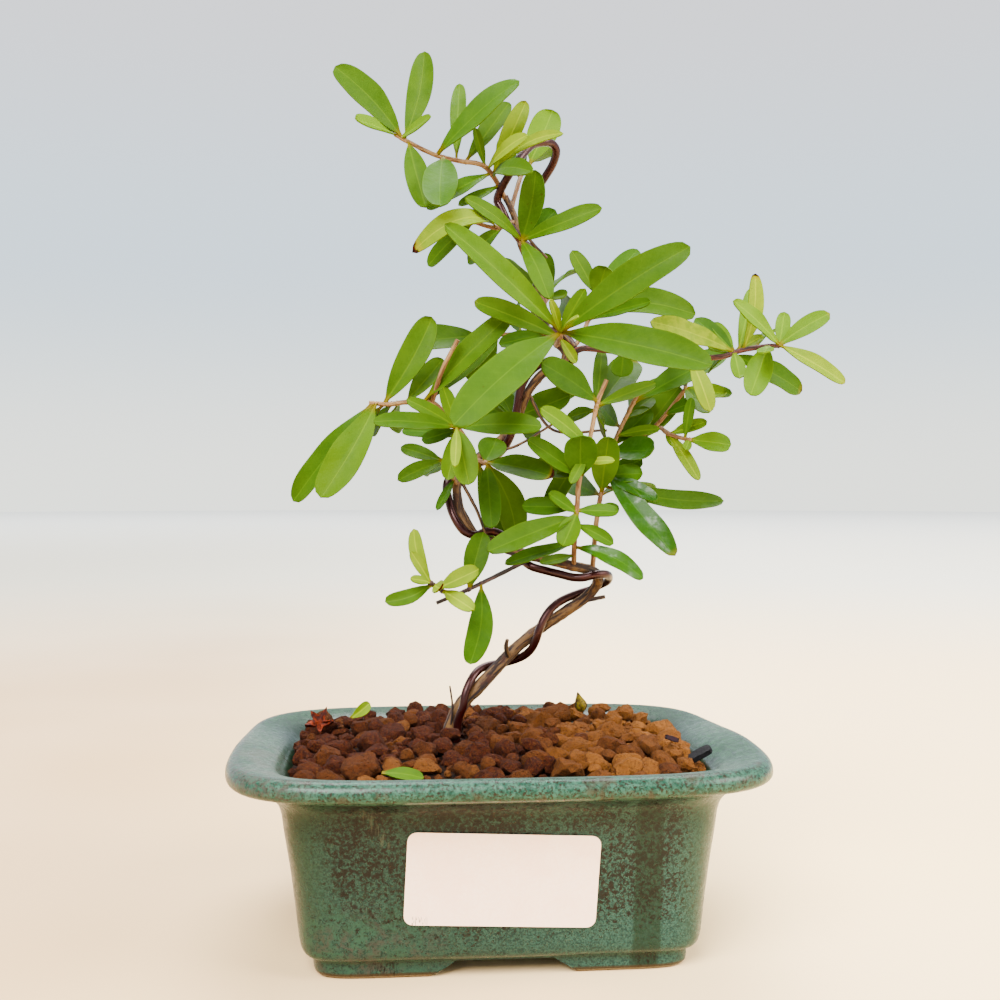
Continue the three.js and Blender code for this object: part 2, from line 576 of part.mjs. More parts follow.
    stem: [[24.9, -1.3, 84.8], [25.2, -3, 91.1], [25.9, -3, 97.8], [26.9, -2, 103], [28.3, 0, 108.4],
      [30.8, 2, 116.2], [36, 3, 126.6]],
    radii: [0.65, 0.5],
    leaves: [
      [0.34, 31, -4, 99, 3.2, 0, 0.05], [0.46, 57, 4, 101, 6, 0, 0.02, -1.5],
      [0.54, 43, -13, 89, 7, 0, 0.1, -1.2], [0.42, 28, -10, 116, 7.5, 0, 0.06],
      [0.66, 39, -6, 113.5, 8, 0, 0.05], [0.52, 36.5, -4, 107.5, 6, 0, 0.05],
      [0.95, 59, 12, 138, 7.5, 0, 0.06], [0.5, 37, 2, 111, 5, 0, 0.05],
      [0.5, 39.5, -8, 101.5, 4.5, 0, 0.08], [0.7, 39.5, 6, 123.5, 6.5, 0, 0.06],
      [0.8, 28, 20, 126, 7, -50, 0.08], [0.4, 42, 22, 103, 7, -50, 0.08], [0.4, 21, 22, 106, 7, -50, 0.08],
      [0.9, 45, 30, 132, 7, -50, 0.08], [0.85, 40.5, 10, 126.5, 5.2, 0, 0.05],
      [0.75, 41, 0, 118.3, 3, 0, 0.05],
    ],
  }]],
  ['shoot_right_inner', BRIGHT, [{
    stem: [[30.4, 5, 110.4], [34.8, 8, 114.2], [41.2, 8, 119.6], [47.9, 5, 128.2]],
    radii: [0.6, 0.5],
    leaves: [
      [1, 52, -5, 122, 6, 0, 0.06], [0.3, 47.5, 13, 129.5, 8.7, 0, 0.06], [0.7, 50, 0, 125, 4, 0, 0.05],
      [1, 59, 4, 127, 4, 0, 0.05], [1, 57.3, 2, 127, 4.6, 0, 0.06], [1, 52, 22, 137, 6.5, -40, 0.08],
    ],
  }]],
  ['shoot_small_right', BRIGHT, [{
    stem: [[41.7, 4, 118.7], [43.5, -2, 116.7], [47.4, -5, 115.4]],
    radii: [0.55, 0.5],
    leaves: [
      [0.5, 52, -2, 120, 3.5, 0, 0.05], [1, 57, -6, 114.3, 6, 0, 0.06], [1, 46, -8, 113, 2.5, 0, 0.05],
      [0.45, 49, -9, 106, 4, 0, 0.08], [0.3, 45, -1, 114, 3, 0, 0.05], [0.9, 48, -4, 125.5, 3, 0, 0.05],
    ],
  }]],
  ['branch_low_left', YELLOW, [{
    stem: [[10.5, -3, 87.6], [2.9, -9, 84.2], [-5.1, -13, 80.6], [-11.6, -15, 78]],
    radii: [0.55, 0.45],
    leaves: [
      [0.7, -1, -11, 94, 6.5, 0, 0.06], [0.58, -4, -15, 64, 6.8, 0, 0.06, 1.1],
    ],
  }, {
    stem: [[-8.5, -14, 79.5], [-10.7, -16, 81.1], [-12.8, -18, 82.8]],
    radii: [0.5, 0.45],
    leaves: [
      [1, -16.6, -18, 95, 4, 0, 0.05, 1], [1, -17, -21, 90, 3, 0, 0.05], [0.6, -2, -19, 86, 5, 0, 0.06],
      [0.4, -3, -21, 77, 4.5, 0, 0.08], [0.8, -10.2, -24, 82.3, 4, 20, 0],
      [0.9, -23, -19, 78.7, 4.2, 0, 0.06, 0.9], [1, -17, -22, 84, 2.5, 0, 0.05],
    ],
  }]],
];

// ---- what has fallen on the soil, in the plant's own axes ----
function starGeometry(points, outer, inner, thickness) {
  const shape = new THREE.Shape();
  for (let corner = 0; corner < 2 * points; corner += 1) {
    const angle = (Math.PI * corner) / points;
    const reach = corner % 2 === 0 ? outer : inner;
    const x = reach * Math.cos(angle);
    const y = reach * Math.sin(angle);
    if (corner === 0) {
      shape.moveTo(x, y);
    } else {
      shape.lineTo(x, y);
    }
  }
  return new THREE.ExtrudeGeometry(shape, { depth: thickness, bevelEnabled: false });
}

function placed(geometry, turnX, turnY, x, y, z) {
  geometry.rotateX(THREE.MathUtils.degToRad(turnX));
  geometry.rotateY(THREE.MathUtils.degToRad(turnY));
  geometry.translate(x, y, z);
  return geometry;
}

// Each piece with its colour; grow makes the pieces larger all over, to bed them in the soil with.
function fallenPieces(grow) {
  const bud = new THREE.LatheGeometry([
    new THREE.Vector2(0, -grow),
    new THREE.Vector2(1.3 + grow, 0.8 - grow),
    new THREE.Vector2(1.7 + grow, 2.2),
    new THREE.Vector2(1.1 + grow, 3.8 + grow),
    new THREE.Vector2(0, 5.4 + grow),
  ], 7);
  const calyx = starGeometry(5, 3.6 + grow, 1.5 + grow, 1.1 + 2 * grow);
  calyx.translate(0, 0, -grow);
  const box = (x, y, z) => new THREE.BoxGeometry(x + 2 * grow, y + 2 * grow, z + 2 * grow);
  const [frontRoot, frontTip, leftRoot, leftTip] = vectors([
    [-22.4, -33.5, 43.8], [-13.4, -34.5, 43], [-35.5, 21, 45.2], [-30.8, 24, 48.6],
  ]);
  return [
    ['dry_calyx', placed(calyx, 55, 10, -42, 11.5, 45.8), 0x9a3b22],
    ['fallen_leaf_front', leaf(frontRoot, frontTip, 3.6, -20, 0.1, 0, grow), BRIGHT],
    ['fallen_leaf_left', leaf(leftRoot, leftTip, 3.4, 30, 0.2, 0, grow), YELLOW],
    ['dry_bud', placed(bud, 8, -14, 24, 22.4, 46.2), 0x8c7a35],
    ['wood_chip_right', placed(box(5.6, 2.6, 1.2), 20, -28, 47.8, -19.7, 44.6), 0x1d1d22],
    ['wood_chip_left', placed(box(3.4, 1.8, 1), -15, 18, 42.6, -10.6, 46.2), 0x3a2230],
  ];
}

// ---- soil ----
function seededRandom(seed) {
  let state = seed;
  return () => {
    state = (state + 0x6d2b79f5) | 0;
    let mixed = Math.imul(state ^ (state >>> 15), 1 | state);
    mixed = (mixed + Math.imul(mixed ^ (mixed >>> 7), 61 | mixed)) ^ mixed;
    return ((mixed ^ (mixed >>> 14)) >>> 0) / 4294967296;
  };
}

// The space inside the pot, drawn in by a small clearance, from its floor up to above the mound.
function insideRings() {
  const clear = GAP + 0.1;
  const lowest = POT_PROFILE.length - 1;
  const lipMouth = POT_PROFILE.findIndex(([inset]) => inset === MOUTH_INSET);
  const rings = [];
  for (let level = lowest; level >= lipMouth; level -= 1) {
    const [inset, height, squareness] = POT_PROFILE[level];
    rings.push([inset + clear, level === lowest ? height + GAP : height, squareness]);
  }
  return rings;
}

// Height of the soil between the granules by inset from the lip's line.
const MOUND = [[12, 39.8], [18, 41.2], [27, 42.6], [40, 43.6]];
const MOUND_SQUARENESS = 5.5;

function moundHeight(inset) {
  if (inset <= MOUND[0][0]) {
    return MOUND[0][1];
  }
  if (inset >= MOUND[MOUND.length - 1][0]) {
    return MOUND[MOUND.length - 1][1];
  }
  return lookUp(MOUND, inset);
}

// Where the granules sit: a hexagonal spread, each moved a little, with its own height and girth.
function granuleCentres() {
  const random = seededRandom(GRANULE.seed);
  const rowHeight = GRANULE.spacing * Math.sqrt(3) / 2;
  const rows = Math.ceil(POT.depth / 2 / rowHeight);
  const columns = Math.ceil(POT.length / 2 / GRANULE.spacing);
  const centres = [];
  for (let row = -rows; row <= rows; row += 1) {
    for (let column = -columns; column <= columns; column += 1) {
      const shift = row % 2 === 0 ? 0 : GRANULE.spacing / 2;
      centres.push({
        x: column * GRANULE.spacing + shift + (random() - 0.5) * GRANULE.jitter,
        y: row * rowHeight + (random() - 0.5) * GRANULE.jitter,
        radius: GRANULE.radius * (0.8 + 0.4 * random()),
        rise: GRANULE.relief * (0.7 + 0.5 * random()),
      });
    }
  }
  return centres;
}

function soilHeight(centres, x, y) {
  const base = moundHeight(planInset(x, y, MOUND_SQUARENESS));
  const rises = centres.map(({ x: centreX, y: centreY, radius, rise }) => {
    const away = Math.hypot(x - centreX, y - centreY) / radius;
    return away < 1 ? rise * Math.sqrt(1 - away * away) : 0;
  });
  return base + Math.max(...rises);
}

function buildSoil(taken) {
  const centres = granuleCentres();
  const height = POT.lipHeight;
  const columns = Math.round(POT.length / SOIL_GRID);
  const rows = Math.round(POT.depth / SOIL_GRID);
  const heap = new THREE.BoxGeometry(POT.length, POT.depth, height, columns, rows, 1);
  const place = heap.attributes.position;
  for (let point = 0; point < place.count; point += 1) {
    if (place.getZ(point) > 0) {
      place.setZ(point, soilHeight(centres, place.getX(point), place.getY(point)));
    }
  }
  const inside = insideRings();
  const [mouthInset, , mouthSquareness] = inside[inside.length - 1];
  const room = [...inside, [mouthInset, 2 * height, mouthSquareness]];
  const space = loft(room.map(([inset, level, squareness]) => planRing(inset, level, squareness)));
  let soil = solidOf(heap).intersect(solidOf(space));
  for (const geometry of taken) {
    soil = soil.subtract(solidOf(geometry));
  }
  const pocket = SCREEN.side + 2 * GAP;
  for (const x of [-DRAIN.x, DRAIN.x]) {
    const recess = new THREE.BoxGeometry(pocket, pocket, 2 * (SCREEN.thickness + 2 * GAP));
    recess.translate(x, 0, FLOOR_TOP);
    soil = soil.subtract(solidOf(recess));
  }
  return meshOf('soil', geometryOf(largestBody(soil)), 0x7a4526, 0.95);
}

// ---- the whole ----
const bonsai = new THREE.Group();
bonsai.name = 'pomegranate_bonsai';
bonsai.add(buildPot(), buildScreen(-DRAIN.x), buildScreen(DRAIN.x), buildLabel());

const plant = new THREE.Group();
plant.rotation.z = THREE.MathUtils.degToRad(PLANT_TURN);
plant.position.x = PLANT_SHIFT;
plant.updateMatrix();
bonsai.add(plant);
plant.add(meshOf('trunk', trunkGeometry(0), 0x7a5a3c, 0.85));
plant.add(meshOf('training_wire', wireGeometry(0), 0x3a1d1c, 0.35, 0.8));
const socket = solidOf(trunkGeometry(GAP + 0.1)).add(solidOf(wireGeometry(GAP + 0.1)));
for (const [name, color, branches] of SHOOTS) {
  plant.add(buildShoot(name, color, branches, socket));
}
plant.add(...fallenPieces(0).map(([name, geometry, color]) => meshOf(name, geometry, color, 0.7)));

const turned = (geometry) => geometry.clone().applyMatrix4(plant.matrix);
bonsai.add(buildSoil([
  turned(trunkGeometry(GAP + 0.1)),
  turned(wireGeometry(GAP + 0.1)),
  ...fallenPieces(GAP + 0.1).map(([, geometry]) => turned(geometry)),
]));

// The origin is under the middle of the whole object's box, on the surface that the pot stands on.
bonsai.updateMatrixWorld(true);
const extent = new THREE.Box3().setFromObject(bonsai, true);
const middle = extent.getCenter(new THREE.Vector3());
bonsai.position.set(-middle.x, -middle.y, -extent.min.z);
bonsai.updateMatrixWorld(true);

export default bonsai;
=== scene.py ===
# Pomegranate bonsai: a wired tree with glossy leaves in a small glazed pot, dressed piece by piece over its solids.
# Lengths in the sections are in millimetres. The plant's own axes are turned a little on the pot's.
import math
import random

import bmesh
import bpy
from mathutils import Matrix, Quaternion, Vector, noise


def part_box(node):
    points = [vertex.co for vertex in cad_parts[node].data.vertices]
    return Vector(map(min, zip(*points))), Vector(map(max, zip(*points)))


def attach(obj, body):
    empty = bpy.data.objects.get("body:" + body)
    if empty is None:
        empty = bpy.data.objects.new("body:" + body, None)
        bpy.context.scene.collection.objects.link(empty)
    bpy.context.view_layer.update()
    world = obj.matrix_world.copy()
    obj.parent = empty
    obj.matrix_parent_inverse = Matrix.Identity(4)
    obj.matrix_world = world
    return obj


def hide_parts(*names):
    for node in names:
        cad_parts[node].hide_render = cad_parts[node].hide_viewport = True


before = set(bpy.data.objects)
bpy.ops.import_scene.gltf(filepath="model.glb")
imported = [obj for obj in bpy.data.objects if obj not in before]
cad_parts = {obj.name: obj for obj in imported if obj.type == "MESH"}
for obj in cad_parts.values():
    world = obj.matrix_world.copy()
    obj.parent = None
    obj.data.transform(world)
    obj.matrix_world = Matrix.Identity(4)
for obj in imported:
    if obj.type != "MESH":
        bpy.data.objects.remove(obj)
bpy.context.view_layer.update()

# ---------------------------------------------------------------------------------------------- camera and light
# A small table-top studio: a wide pale floor, one large soft lamp in front of the tree on the left, a weaker one
# on the right and one above it from behind. The camera looks level at the tree, a hand's breadth above the table.
MM = 0.001
PER_METRE = 1000.0
EYE = Vector((-26.1, -309.4, 105.0))       # from the middle of the pot's foot
EYE_DROP = 0.69                            # degrees below level
PLANT_TURN = -5.2                          # degrees about Z
PLANT_SHIFT = -0.8                         # along X, from the middle of the pot
SENSOR = 36.0
LENS = 46.76
# These three fit a shader's colours to the light and the view.
LIGHT_SHARE = 0.38
FILM_CURVE = 1.55
VIVID = 1.3
GREY_SHARES = (0.25, 0.65, 0.1)            # of red, green and blue in a colour's grey


def screen(red, green, blue):
    """A screen colour, 0 to 255, as the linear colour of a light or of something very pale."""
    shares = [channel / 255 for channel in (red, green, blue)]
    return tuple(s / 12.92 if s <= 0.04045 else ((s + 0.055) / 1.055) ** 2.4 for s in shares) + (1.0,)


def paint(red, green, blue):
    """A colour as it should look in this studio, 0 to 255, as the linear colour that a shader takes."""
    shares = screen(red, green, blue)[:3]
    grey = sum(share * part for share, part in zip(shares, GREY_SHARES))
    return tuple(LIGHT_SHARE * max(grey + (s - grey) * VIVID, 0.002) ** FILM_CURVE for s in shares) + (1.0,)


pot_low, pot_high = (Vector(corner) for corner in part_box("pot"))
pot_centre = Vector(((pot_low.x + pot_high.x) / 2, (pot_low.y + pot_high.y) / 2, 0.0))

camera = bpy.data.objects.new("camera", bpy.data.cameras.new("camera"))
camera.data.sensor_width = SENSOR
camera.data.lens = LENS
camera.data.clip_start = 0.01
camera.location = pot_centre + EYE * MM
camera.rotation_euler = (math.radians(90 - EYE_DROP), 0, math.radians(PLANT_TURN))
bpy.context.collection.objects.link(camera)
bpy.context.scene.camera = camera

# Each lamp's name, its place in metres from the pot, width in metres, power in watts and colour.
LAMPS = [
    ("lamp_front", (-1.1, -2.2, 2.3), 2.0, 430.0, (1.0, 0.98, 0.94)),
    ("lamp_right", (2.2, -1.1, 1.7), 1.8, 210.0, (1.0, 0.95, 0.88)),
    ("lamp_above", (0.2, 1.3, 3.0), 2.2, 260.0, (0.98, 0.99, 1.0)),
]
LAMP_AIM = Vector((0, 0, 0.1))             # metres, from the middle of the pot's foot
for lamp_name, lamp_place, width, power, colour in LAMPS:
    lamp = bpy.data.lights.new(lamp_name, "AREA")
    lamp.shape = "DISK"
    lamp.size = width
    lamp.energy = power
    lamp.color = colour
    holder = bpy.data.objects.new(lamp_name, lamp)
    holder.location = pot_centre + Vector(lamp_place)
    aim = pot_centre + LAMP_AIM - holder.location
    holder.rotation_euler = aim.to_track_quat("-Z", "Y").to_euler()
    bpy.context.collection.objects.link(holder)

world = bpy.data.worlds.new("studio")
world.use_nodes = True
bpy.context.scene.world = world


def place_node(tree, kind, inputs=None, **settings):
    """A shader node with its inputs given by name, as a value or as the socket that feeds it."""
    made = tree.nodes.new(kind)
    for key, value in settings.items():
        setattr(made, key, value)
    for key, value in (inputs or {}).items():
        if isinstance(value, bpy.types.NodeSocket):
            tree.links.new(value, made.inputs[key])
        else:
            made.inputs[key].default_value = value
    return made


def new_finish(name, roughness):
    """A material with its shader, ready for colour and relief."""
    finish = bpy.data.materials.new(name)
    finish.use_nodes = True
    shader = finish.node_tree.nodes["Principled BSDF"]
    shader.inputs["Roughness"].default_value = roughness
    return finish, finish.node_tree, shader


def spread(tree, value, low, high, to_low=0.0, to_high=1.0):
    """Value brought smoothly from low..high to to_low..to_high."""
    made = place_node(tree, "ShaderNodeMapRange", {
        "Value": value, "From Min": low, "From Max": high, "To Min": to_low, "To Max": to_high,
    }, interpolation_type="SMOOTHSTEP")
    return made.outputs["Result"]


def reckon(tree, operation, first, second=0.0, third=0.0):
    made = place_node(tree, "ShaderNodeMath", {0: first, 1: second, 2: third}, operation=operation)
    return made.outputs["Value"]


def times(tree, first, second):
    return reckon(tree, "MULTIPLY", first, second)


def plus(tree, first, second):
    return reckon(tree, "ADD", first, second)


def tint(tree, factor, first, second, mode="MIX"):
    """First colour with the second laid over it where factor is high."""
    made = place_node(tree, "ShaderNodeMix", {0: factor, 6: first, 7: second}, data_type="RGBA", blend_type=mode)
    return made.outputs[2]


def grain(tree, place, scale, detail=3.0, roughness=0.55, distortion=0.0):
    """Cloudy noise of a scale in waves a millimetre."""
    made = place_node(tree, "ShaderNodeTexNoise", {
        "Vector": place, "Scale": scale, "Detail": detail, "Roughness": roughness, "Distortion": distortion,
    })
    return made.outputs["Fac"]


def millimetres(tree, middle=(0.0, 0.0, 0.0)):
    """The point on the object in millimetres from middle."""
    source = place_node(tree, "ShaderNodeTexCoord").outputs["Object"]
    shift = [-PER_METRE * along for along in middle]
    made = place_node(tree, "ShaderNodeMapping", {"Vector": source, "Scale": [PER_METRE] * 3, "Location": shift})
    return made.outputs["Vector"]


def relief(tree, height, strength, distance, under=None):
    """Bump of a distance in millimetres, over another one if given."""
    inputs = {"Height": height, "Strength": strength, "Distance": distance * MM}
    if under is not None:
        inputs["Normal"] = under
    return place_node(tree, "ShaderNodeBump", inputs).outputs["Normal"]


def split(tree, vector):
    return place_node(tree, "ShaderNodeSeparateXYZ", {"Vector": vector}).outputs


# The wall behind is far off: warm where it meets the table, cool above that and grey at the top.
WALL_LEVELS = (-0.01, 0.17, 0.36)          # sines of the angle above level
WALL_STRENGTH = 2.15
tree = world.node_tree
sky_ray = place_node(tree, "ShaderNodeTexCoord").outputs["Generated"]
sky_height = split(tree, sky_ray)["Z"]
wall_foot, wall_middle, wall_top = WALL_LEVELS
wall_colour = tint(tree, spread(tree, sky_height, wall_foot, wall_middle), screen(252, 255, 246),
                   screen(202, 220, 233))
wall_colour = tint(tree, spread(tree, sky_height, wall_middle, wall_top), wall_colour, screen(210, 212, 218))
tree.links.new(wall_colour, tree.nodes["Background"].inputs["Color"])
tree.nodes["Background"].inputs["Strength"].default_value = WALL_STRENGTH

# The table is pale paper, with painted shade that makes it a little darker on the left and far away.
FLOOR_RADIUS = 5.0                         # metres
floor_mesh = bpy.data.meshes.new("floor")
bm = bmesh.new()
bmesh.ops.create_circle(bm, cap_ends=True, segments=96, radius=FLOOR_RADIUS)
bm.to_mesh(floor_mesh)
bm.free()
floor = bpy.data.objects.new("floor", floor_mesh)
bpy.context.collection.objects.link(floor)
floor_finish, tree, shader = new_finish("floor_paper", 0.75)
paper = grain(tree, millimetres(tree), 0.004, 2.0)
off_x, off_y, _ = split(tree, millimetres(tree, pot_centre))
# Painted shade: the paper is painted darker towards the left, and greyer further off before it fades to the wall's
# colour.
near_paper_and_shade = tint(tree, spread(tree, off_x, -150, 130), screen(186, 148, 96), screen(255, 220, 158))
near_paper_and_shade = tint(tree, spread(tree, paper, 0.3, 0.7, 0.0, 0.2), near_paper_and_shade, screen(244, 214, 176))
far_off = reckon(tree, "SQRT", plus(tree, times(tree, off_x, off_x), times(tree, off_y, off_y)))
far_paper_and_shade = tint(tree, spread(tree, off_x, -500, 600), screen(176, 172, 156), screen(216, 212, 196))
far_paper_and_shade = tint(tree, spread(tree, far_off, 1200, 4200), far_paper_and_shade, screen(252, 254, 246))
tree.links.new(tint(tree, spread(tree, far_off, 100, 1300), near_paper_and_shade, far_paper_and_shade), shader.inputs["Base Color"])
floor.data.materials.append(floor_finish)

# ----------------------------------------------------------------------------------------------------------- pot
# A hand-sized stoneware pot, pressed in a mould: flared walls, a broad rolled lip with a shallow dish around the
# soil, and four corner feet that leave a slot in the middle of each side. Dipped in a green glaze that breaks to
# brown and teal, with the feet's undersides wiped bare.
POT_LENGTH = 120.6
POT_DEPTH = 106.8
AROUND = 224                               # points around each level
CORNER_CROWD = 0.68                        # under 1 moves the points towards the corners
FOOT_HEIGHT = 3.9
FLOOR_TOP = 6.4
# From the foot up the outside, over the lip and down the inside: inset from the widest line, height, squareness.
POT_PROFILE = [
    (20.4, 0, 12), (19.2, 0.9, 12), (18.9, 3.9, 12), (17.4, 4.6, 11), (16.1, 6.6, 9.5), (15.1, 13.6, 8.5),
    (14, 22, 8), (12.7, 30.5, 7.5), (12, 34.6, 7), (10.6, 37.4, 6.4), (7.4, 39.7, 5.6), (3.2, 40.9, 5.1),
    (0.9, 41.7, 4.9), (0, 42.9, 4.8), (0.3, 44.6, 4.8), (1.4, 45.7, 4.8), (2.9, 45.9, 4.8), (6, 45.3, 4.9),
    (9.2, 44.2, 5.1), (11.6, 42.3, 5.4), (13.9, 38.6, 6), (18.4, 18, 7.5), (22, 6.4, 8),
]
LEVELS_BETWEEN = 4
WALL_WAVER = 0.22                          # how uneven the pressed clay is
WAVER_WAVES = 0.06                         # to a millimetre
BACK_DROP = 2.4                            # the lip sagged this much at the back in the kiln
DROP_HEIGHTS = (33, 41)                    # from none of it to all of it
DROP_DEPTHS = (-15, 30)
POT_CREASE = 38.0                          # degrees, from which an edge stays hard


def rounded(rows, between):
    """Rows of numbers with smooth rows laid between each two."""
    made = []
    for number in range(len(rows) - 1):
        before = rows[max(number - 1, 0)]
        first, second = rows[number], rows[number + 1]
        after = rows[min(number + 2, len(rows) - 1)]
        for part in range(between):
            t = part / between
            made.append(tuple(
                0.5 * (2 * b + (c - a) * t + (2 * a - 5 * b + 4 * c - d) * t * t + (3 * b - a - 3 * c + d) * t ** 3)
                for a, b, c, d in zip(before, first, second, after)))
    made.append(tuple(rows[-1]))
    return made


def plan_point(turn, inset, squareness):
    """A point of one level of the pot, seen from above."""
    half_length = POT_LENGTH / 2 - inset
    half_depth = POT_DEPTH / 2 - inset
    x = math.copysign(abs(math.cos(turn)) ** CORNER_CROWD, math.cos(turn))
    y = math.copysign(abs(math.sin(turn)) ** CORNER_CROWD, math.sin(turn))
    reach = (abs(x) ** squareness + abs(y) ** squareness) ** (-1 / squareness)
    return x * reach * half_length, y * reach * half_depth


def plan_inset(x, y, squareness):
    """How far a point lies in from the lip's widest line."""
    low, high = 0.0, POT_DEPTH / 2 - 0.01
    for _ in range(22):
        middle = (low + high) / 2
        reach = (abs(x) / (POT_LENGTH / 2 - middle)) ** squareness + (abs(y) / (POT_DEPTH / 2 - middle)) ** squareness
        low, high = (middle, high) if reach < 1 else (low, middle)
    return low


def wall_inset(height):
    """Inset of the pot's outer wall at a height."""
    for (inset, low, _), (next_inset, high, _) in zip(smooth_profile, smooth_profile[1:]):
        if low <= height <= high:
            return inset + (next_inset - inset) * (height - low) / max(high - low, 1e-6)
    return smooth_profile[0][0]


def points_of(grown):
    """The points in what an extrusion has made."""
    return [item for item in grown if isinstance(item, bmesh.types.BMVert)]


def skin(bm, sides, rings, place):
    """A closed skin of rings, each pulled out of the one before. Place gives a ring's point in millimetres."""
    turn = bm.verts.layers.float.get("turn") or bm.verts.layers.float.new("turn")
    ring = bmesh.ops.create_circle(bm, segments=sides, radius=1.0)["verts"]
    for vert in ring:
        vert[turn] = math.atan2(vert.co.y, vert.co.x)
    edges = list(dict.fromkeys(edge for vert in ring for edge in vert.link_edges))
    first = edges
    for number in range(rings):
        if number:
            grown = bmesh.ops.extrude_edge_only(bm, edges=edges)["geom"]
            ring = points_of(grown)
            held = set(ring)
            edges = [item for item in grown
                     if isinstance(item, bmesh.types.BMEdge) and item.verts[0] in held and item.verts[1] in held]
        for vert in ring:
            place(vert, number, vert[turn])
    bmesh.ops.edgeloop_fill(bm, edges=first)
    bmesh.ops.edgeloop_fill(bm, edges=edges)


def make_piece(name, bm, finishes, crease=40.0):
    """A finished piece from its bmesh, in metres and in place, with smooth faces and its hard edges kept."""
    bmesh.ops.recalc_face_normals(bm, faces=bm.faces)
    mesh = bpy.data.meshes.new(name)
    bm.to_mesh(mesh)
    bm.free()
    piece = bpy.data.objects.new(name, mesh)
    bpy.context.collection.objects.link(piece)
    for finish in finishes:
        mesh.materials.append(finish)
    mesh.shade_smooth()
    mesh.set_sharp_from_angle(angle=math.radians(crease))
    return piece


smooth_profile = [(max(inset, 0.0), max(height, 0.0), square)
                  for inset, height, square in rounded(POT_PROFILE, LEVELS_BETWEEN)]
lip_top = max(range(len(smooth_profile)), key=lambda number: smooth_profile[number][1])


def eased(value, low, high):
    """0 at low, 1 at high and smooth between."""
    share = min(max((value - low) / (high - low), 0.0), 1.0)
    return share * share * (3 - 2 * share)


bm = bmesh.new()
inner = bm.verts.layers.float.new("inner_side")


def place_pot(vert, number, turn):
    inset, height, squareness = smooth_profile[number]
    x, y = plan_point(turn, inset, squareness)
    height -= BACK_DROP * eased(height, *DROP_HEIGHTS) * eased(y, *DROP_DEPTHS)
    waver = 0.5 + 0.5 * noise.noise(Vector((x, y, height * 1.4)) * WAVER_WAVES)
    x, y = plan_point(turn, inset + WALL_WAVER * waver, squareness)
    vert.co = pot_centre + Vector((x, y, height)) * MM
    vert[inner] = 1.0 if number > lip_top else 0.0


skin(bm, AROUND, len(smooth_profile), place_pot)


def cutter_box(corners_low, corners_high, height):
    """A prism from z -1 to a height over a rectangle that narrows upwards."""
    cut = bmesh.new()
    bmesh.ops.create_cube(cut, size=2.0)
    for vert in cut.verts:
        half = corners_high if vert.co.z > 0 else corners_low
        vert.co = Vector((vert.co.x * half[0], vert.co.y * half[1], height if vert.co.z > 0 else -1.0))
    return cut


FOOT_SLOTS = [((17.9, 70.0), (10.9, 70.0)), ((70.0, 14.5), (70.0, 7.5))]     # half sizes, low and high
SLOT_HEIGHT = FOOT_HEIGHT - 0.3
HOLLOW = (33.4, 26.5)
HOLLOW_HEIGHT = FOOT_HEIGHT - 0.1
SLOT_ROUND = 0.7
DRAINS = [-17.0, 17.0]
DRAIN_RADIUS = 4.0
cutters = [cutter_box(low, high, SLOT_HEIGHT) for low, high in FOOT_SLOTS]
cutters.append(cutter_box(HOLLOW, HOLLOW, HOLLOW_HEIGHT))
for cut in cutters:
    upper = [edge for edge in cut.edges if all(vert.co.z > 0 for vert in edge.verts)]
    bmesh.ops.bevel(cut, geom=upper, offset=SLOT_ROUND, segments=3, profile=0.5, affect="EDGES", material=-1)
for x in DRAINS:
    cut = bmesh.new()
    bmesh.ops.create_cone(cut, cap_ends=True, segments=40, radius1=DRAIN_RADIUS, radius2=DRAIN_RADIUS, depth=20.0)
    bmesh.ops.translate(cut, verts=cut.verts, vec=(x, 0, 0))
    cutters.append(cut)

pot_axes = Matrix.Translation(pot_centre) @ Matrix.Scale(MM, 4)
pot = make_piece("glazed_pot", bm, [], POT_CREASE)
for cut in cutters:
    bmesh.ops.transform(cut, matrix=pot_axes, verts=cut.verts)
    cutter = make_piece("cutter", cut, [])
    carve = pot.modifiers.new("carve", "BOOLEAN")
    carve.object = cutter
    carve.solver = "EXACT"
    carved = bpy.data.meshes.new_from_object(pot.evaluated_get(bpy.context.evaluated_depsgraph_get()))
    pot.modifiers.clear()
    pot.data = carved
    bpy.data.objects.remove(cutter)
pot.data.shade_smooth()
pot.data.set_sharp_from_angle(angle=math.radians(POT_CREASE))


def carried(tree, name, output="Vector"):
    """What the mesh's points carry under a name."""
    return place_node(tree, "ShaderNodeAttribute", attribute_name=name).outputs[output]


def stretched(tree, place, scale, turn=(0.0, 0.0, 0.0)):
    """A place turned and squeezed, so that the grain on it comes out in streaks."""
    made = place_node(tree, "ShaderNodeMapping", {"Vector": place, "Rotation": turn, "Scale": scale})
    return made.outputs["Vector"]


def near_to(tree, value, middle, outer, inner):
    """1 where value is within inner of middle, and 0 where it is more than outer away."""
    return spread(tree, reckon(tree, "ABSOLUTE", reckon(tree, "SUBTRACT", value, middle)), outer, inner)


def feed(tree, shader, colour, roughness, normal):
    """Leads a material's colour, roughness and relief into its shader."""
    tree.links.new(colour, shader.inputs["Base Color"])
    tree.links.new(roughness, shader.inputs["Roughness"])
    tree.links.new(normal, shader.inputs["Normal"])


BAND = ((26.6, 27.6), (33.6, 32.6))        # the dark run of glaze on the front, each edge from light to dark
HAIR_SCRATCHES = ((-25.8, 2.6), (30.5, 3.0))   # x and height, on the front feet
SCUFF_LEVEL = 34.0

glaze, tree, shader = new_finish("breaking_green_glaze", 0.3)
at = millimetres(tree, pot_centre)
x, y, z = split(tree, at)
inside = carried(tree, "inner_side", "Fac")
clouds = grain(tree, at, 0.06, 3.0, 0.55, 0.5)
patches = grain(tree, at, 0.2, 4.0, 0.6, 0.4)
flecks = grain(tree, at, 0.85, 5.0, 0.72, 0.6)
specks = grain(tree, at, 1.9, 3.0, 0.6)
front = spread(tree, y, -30, -34)
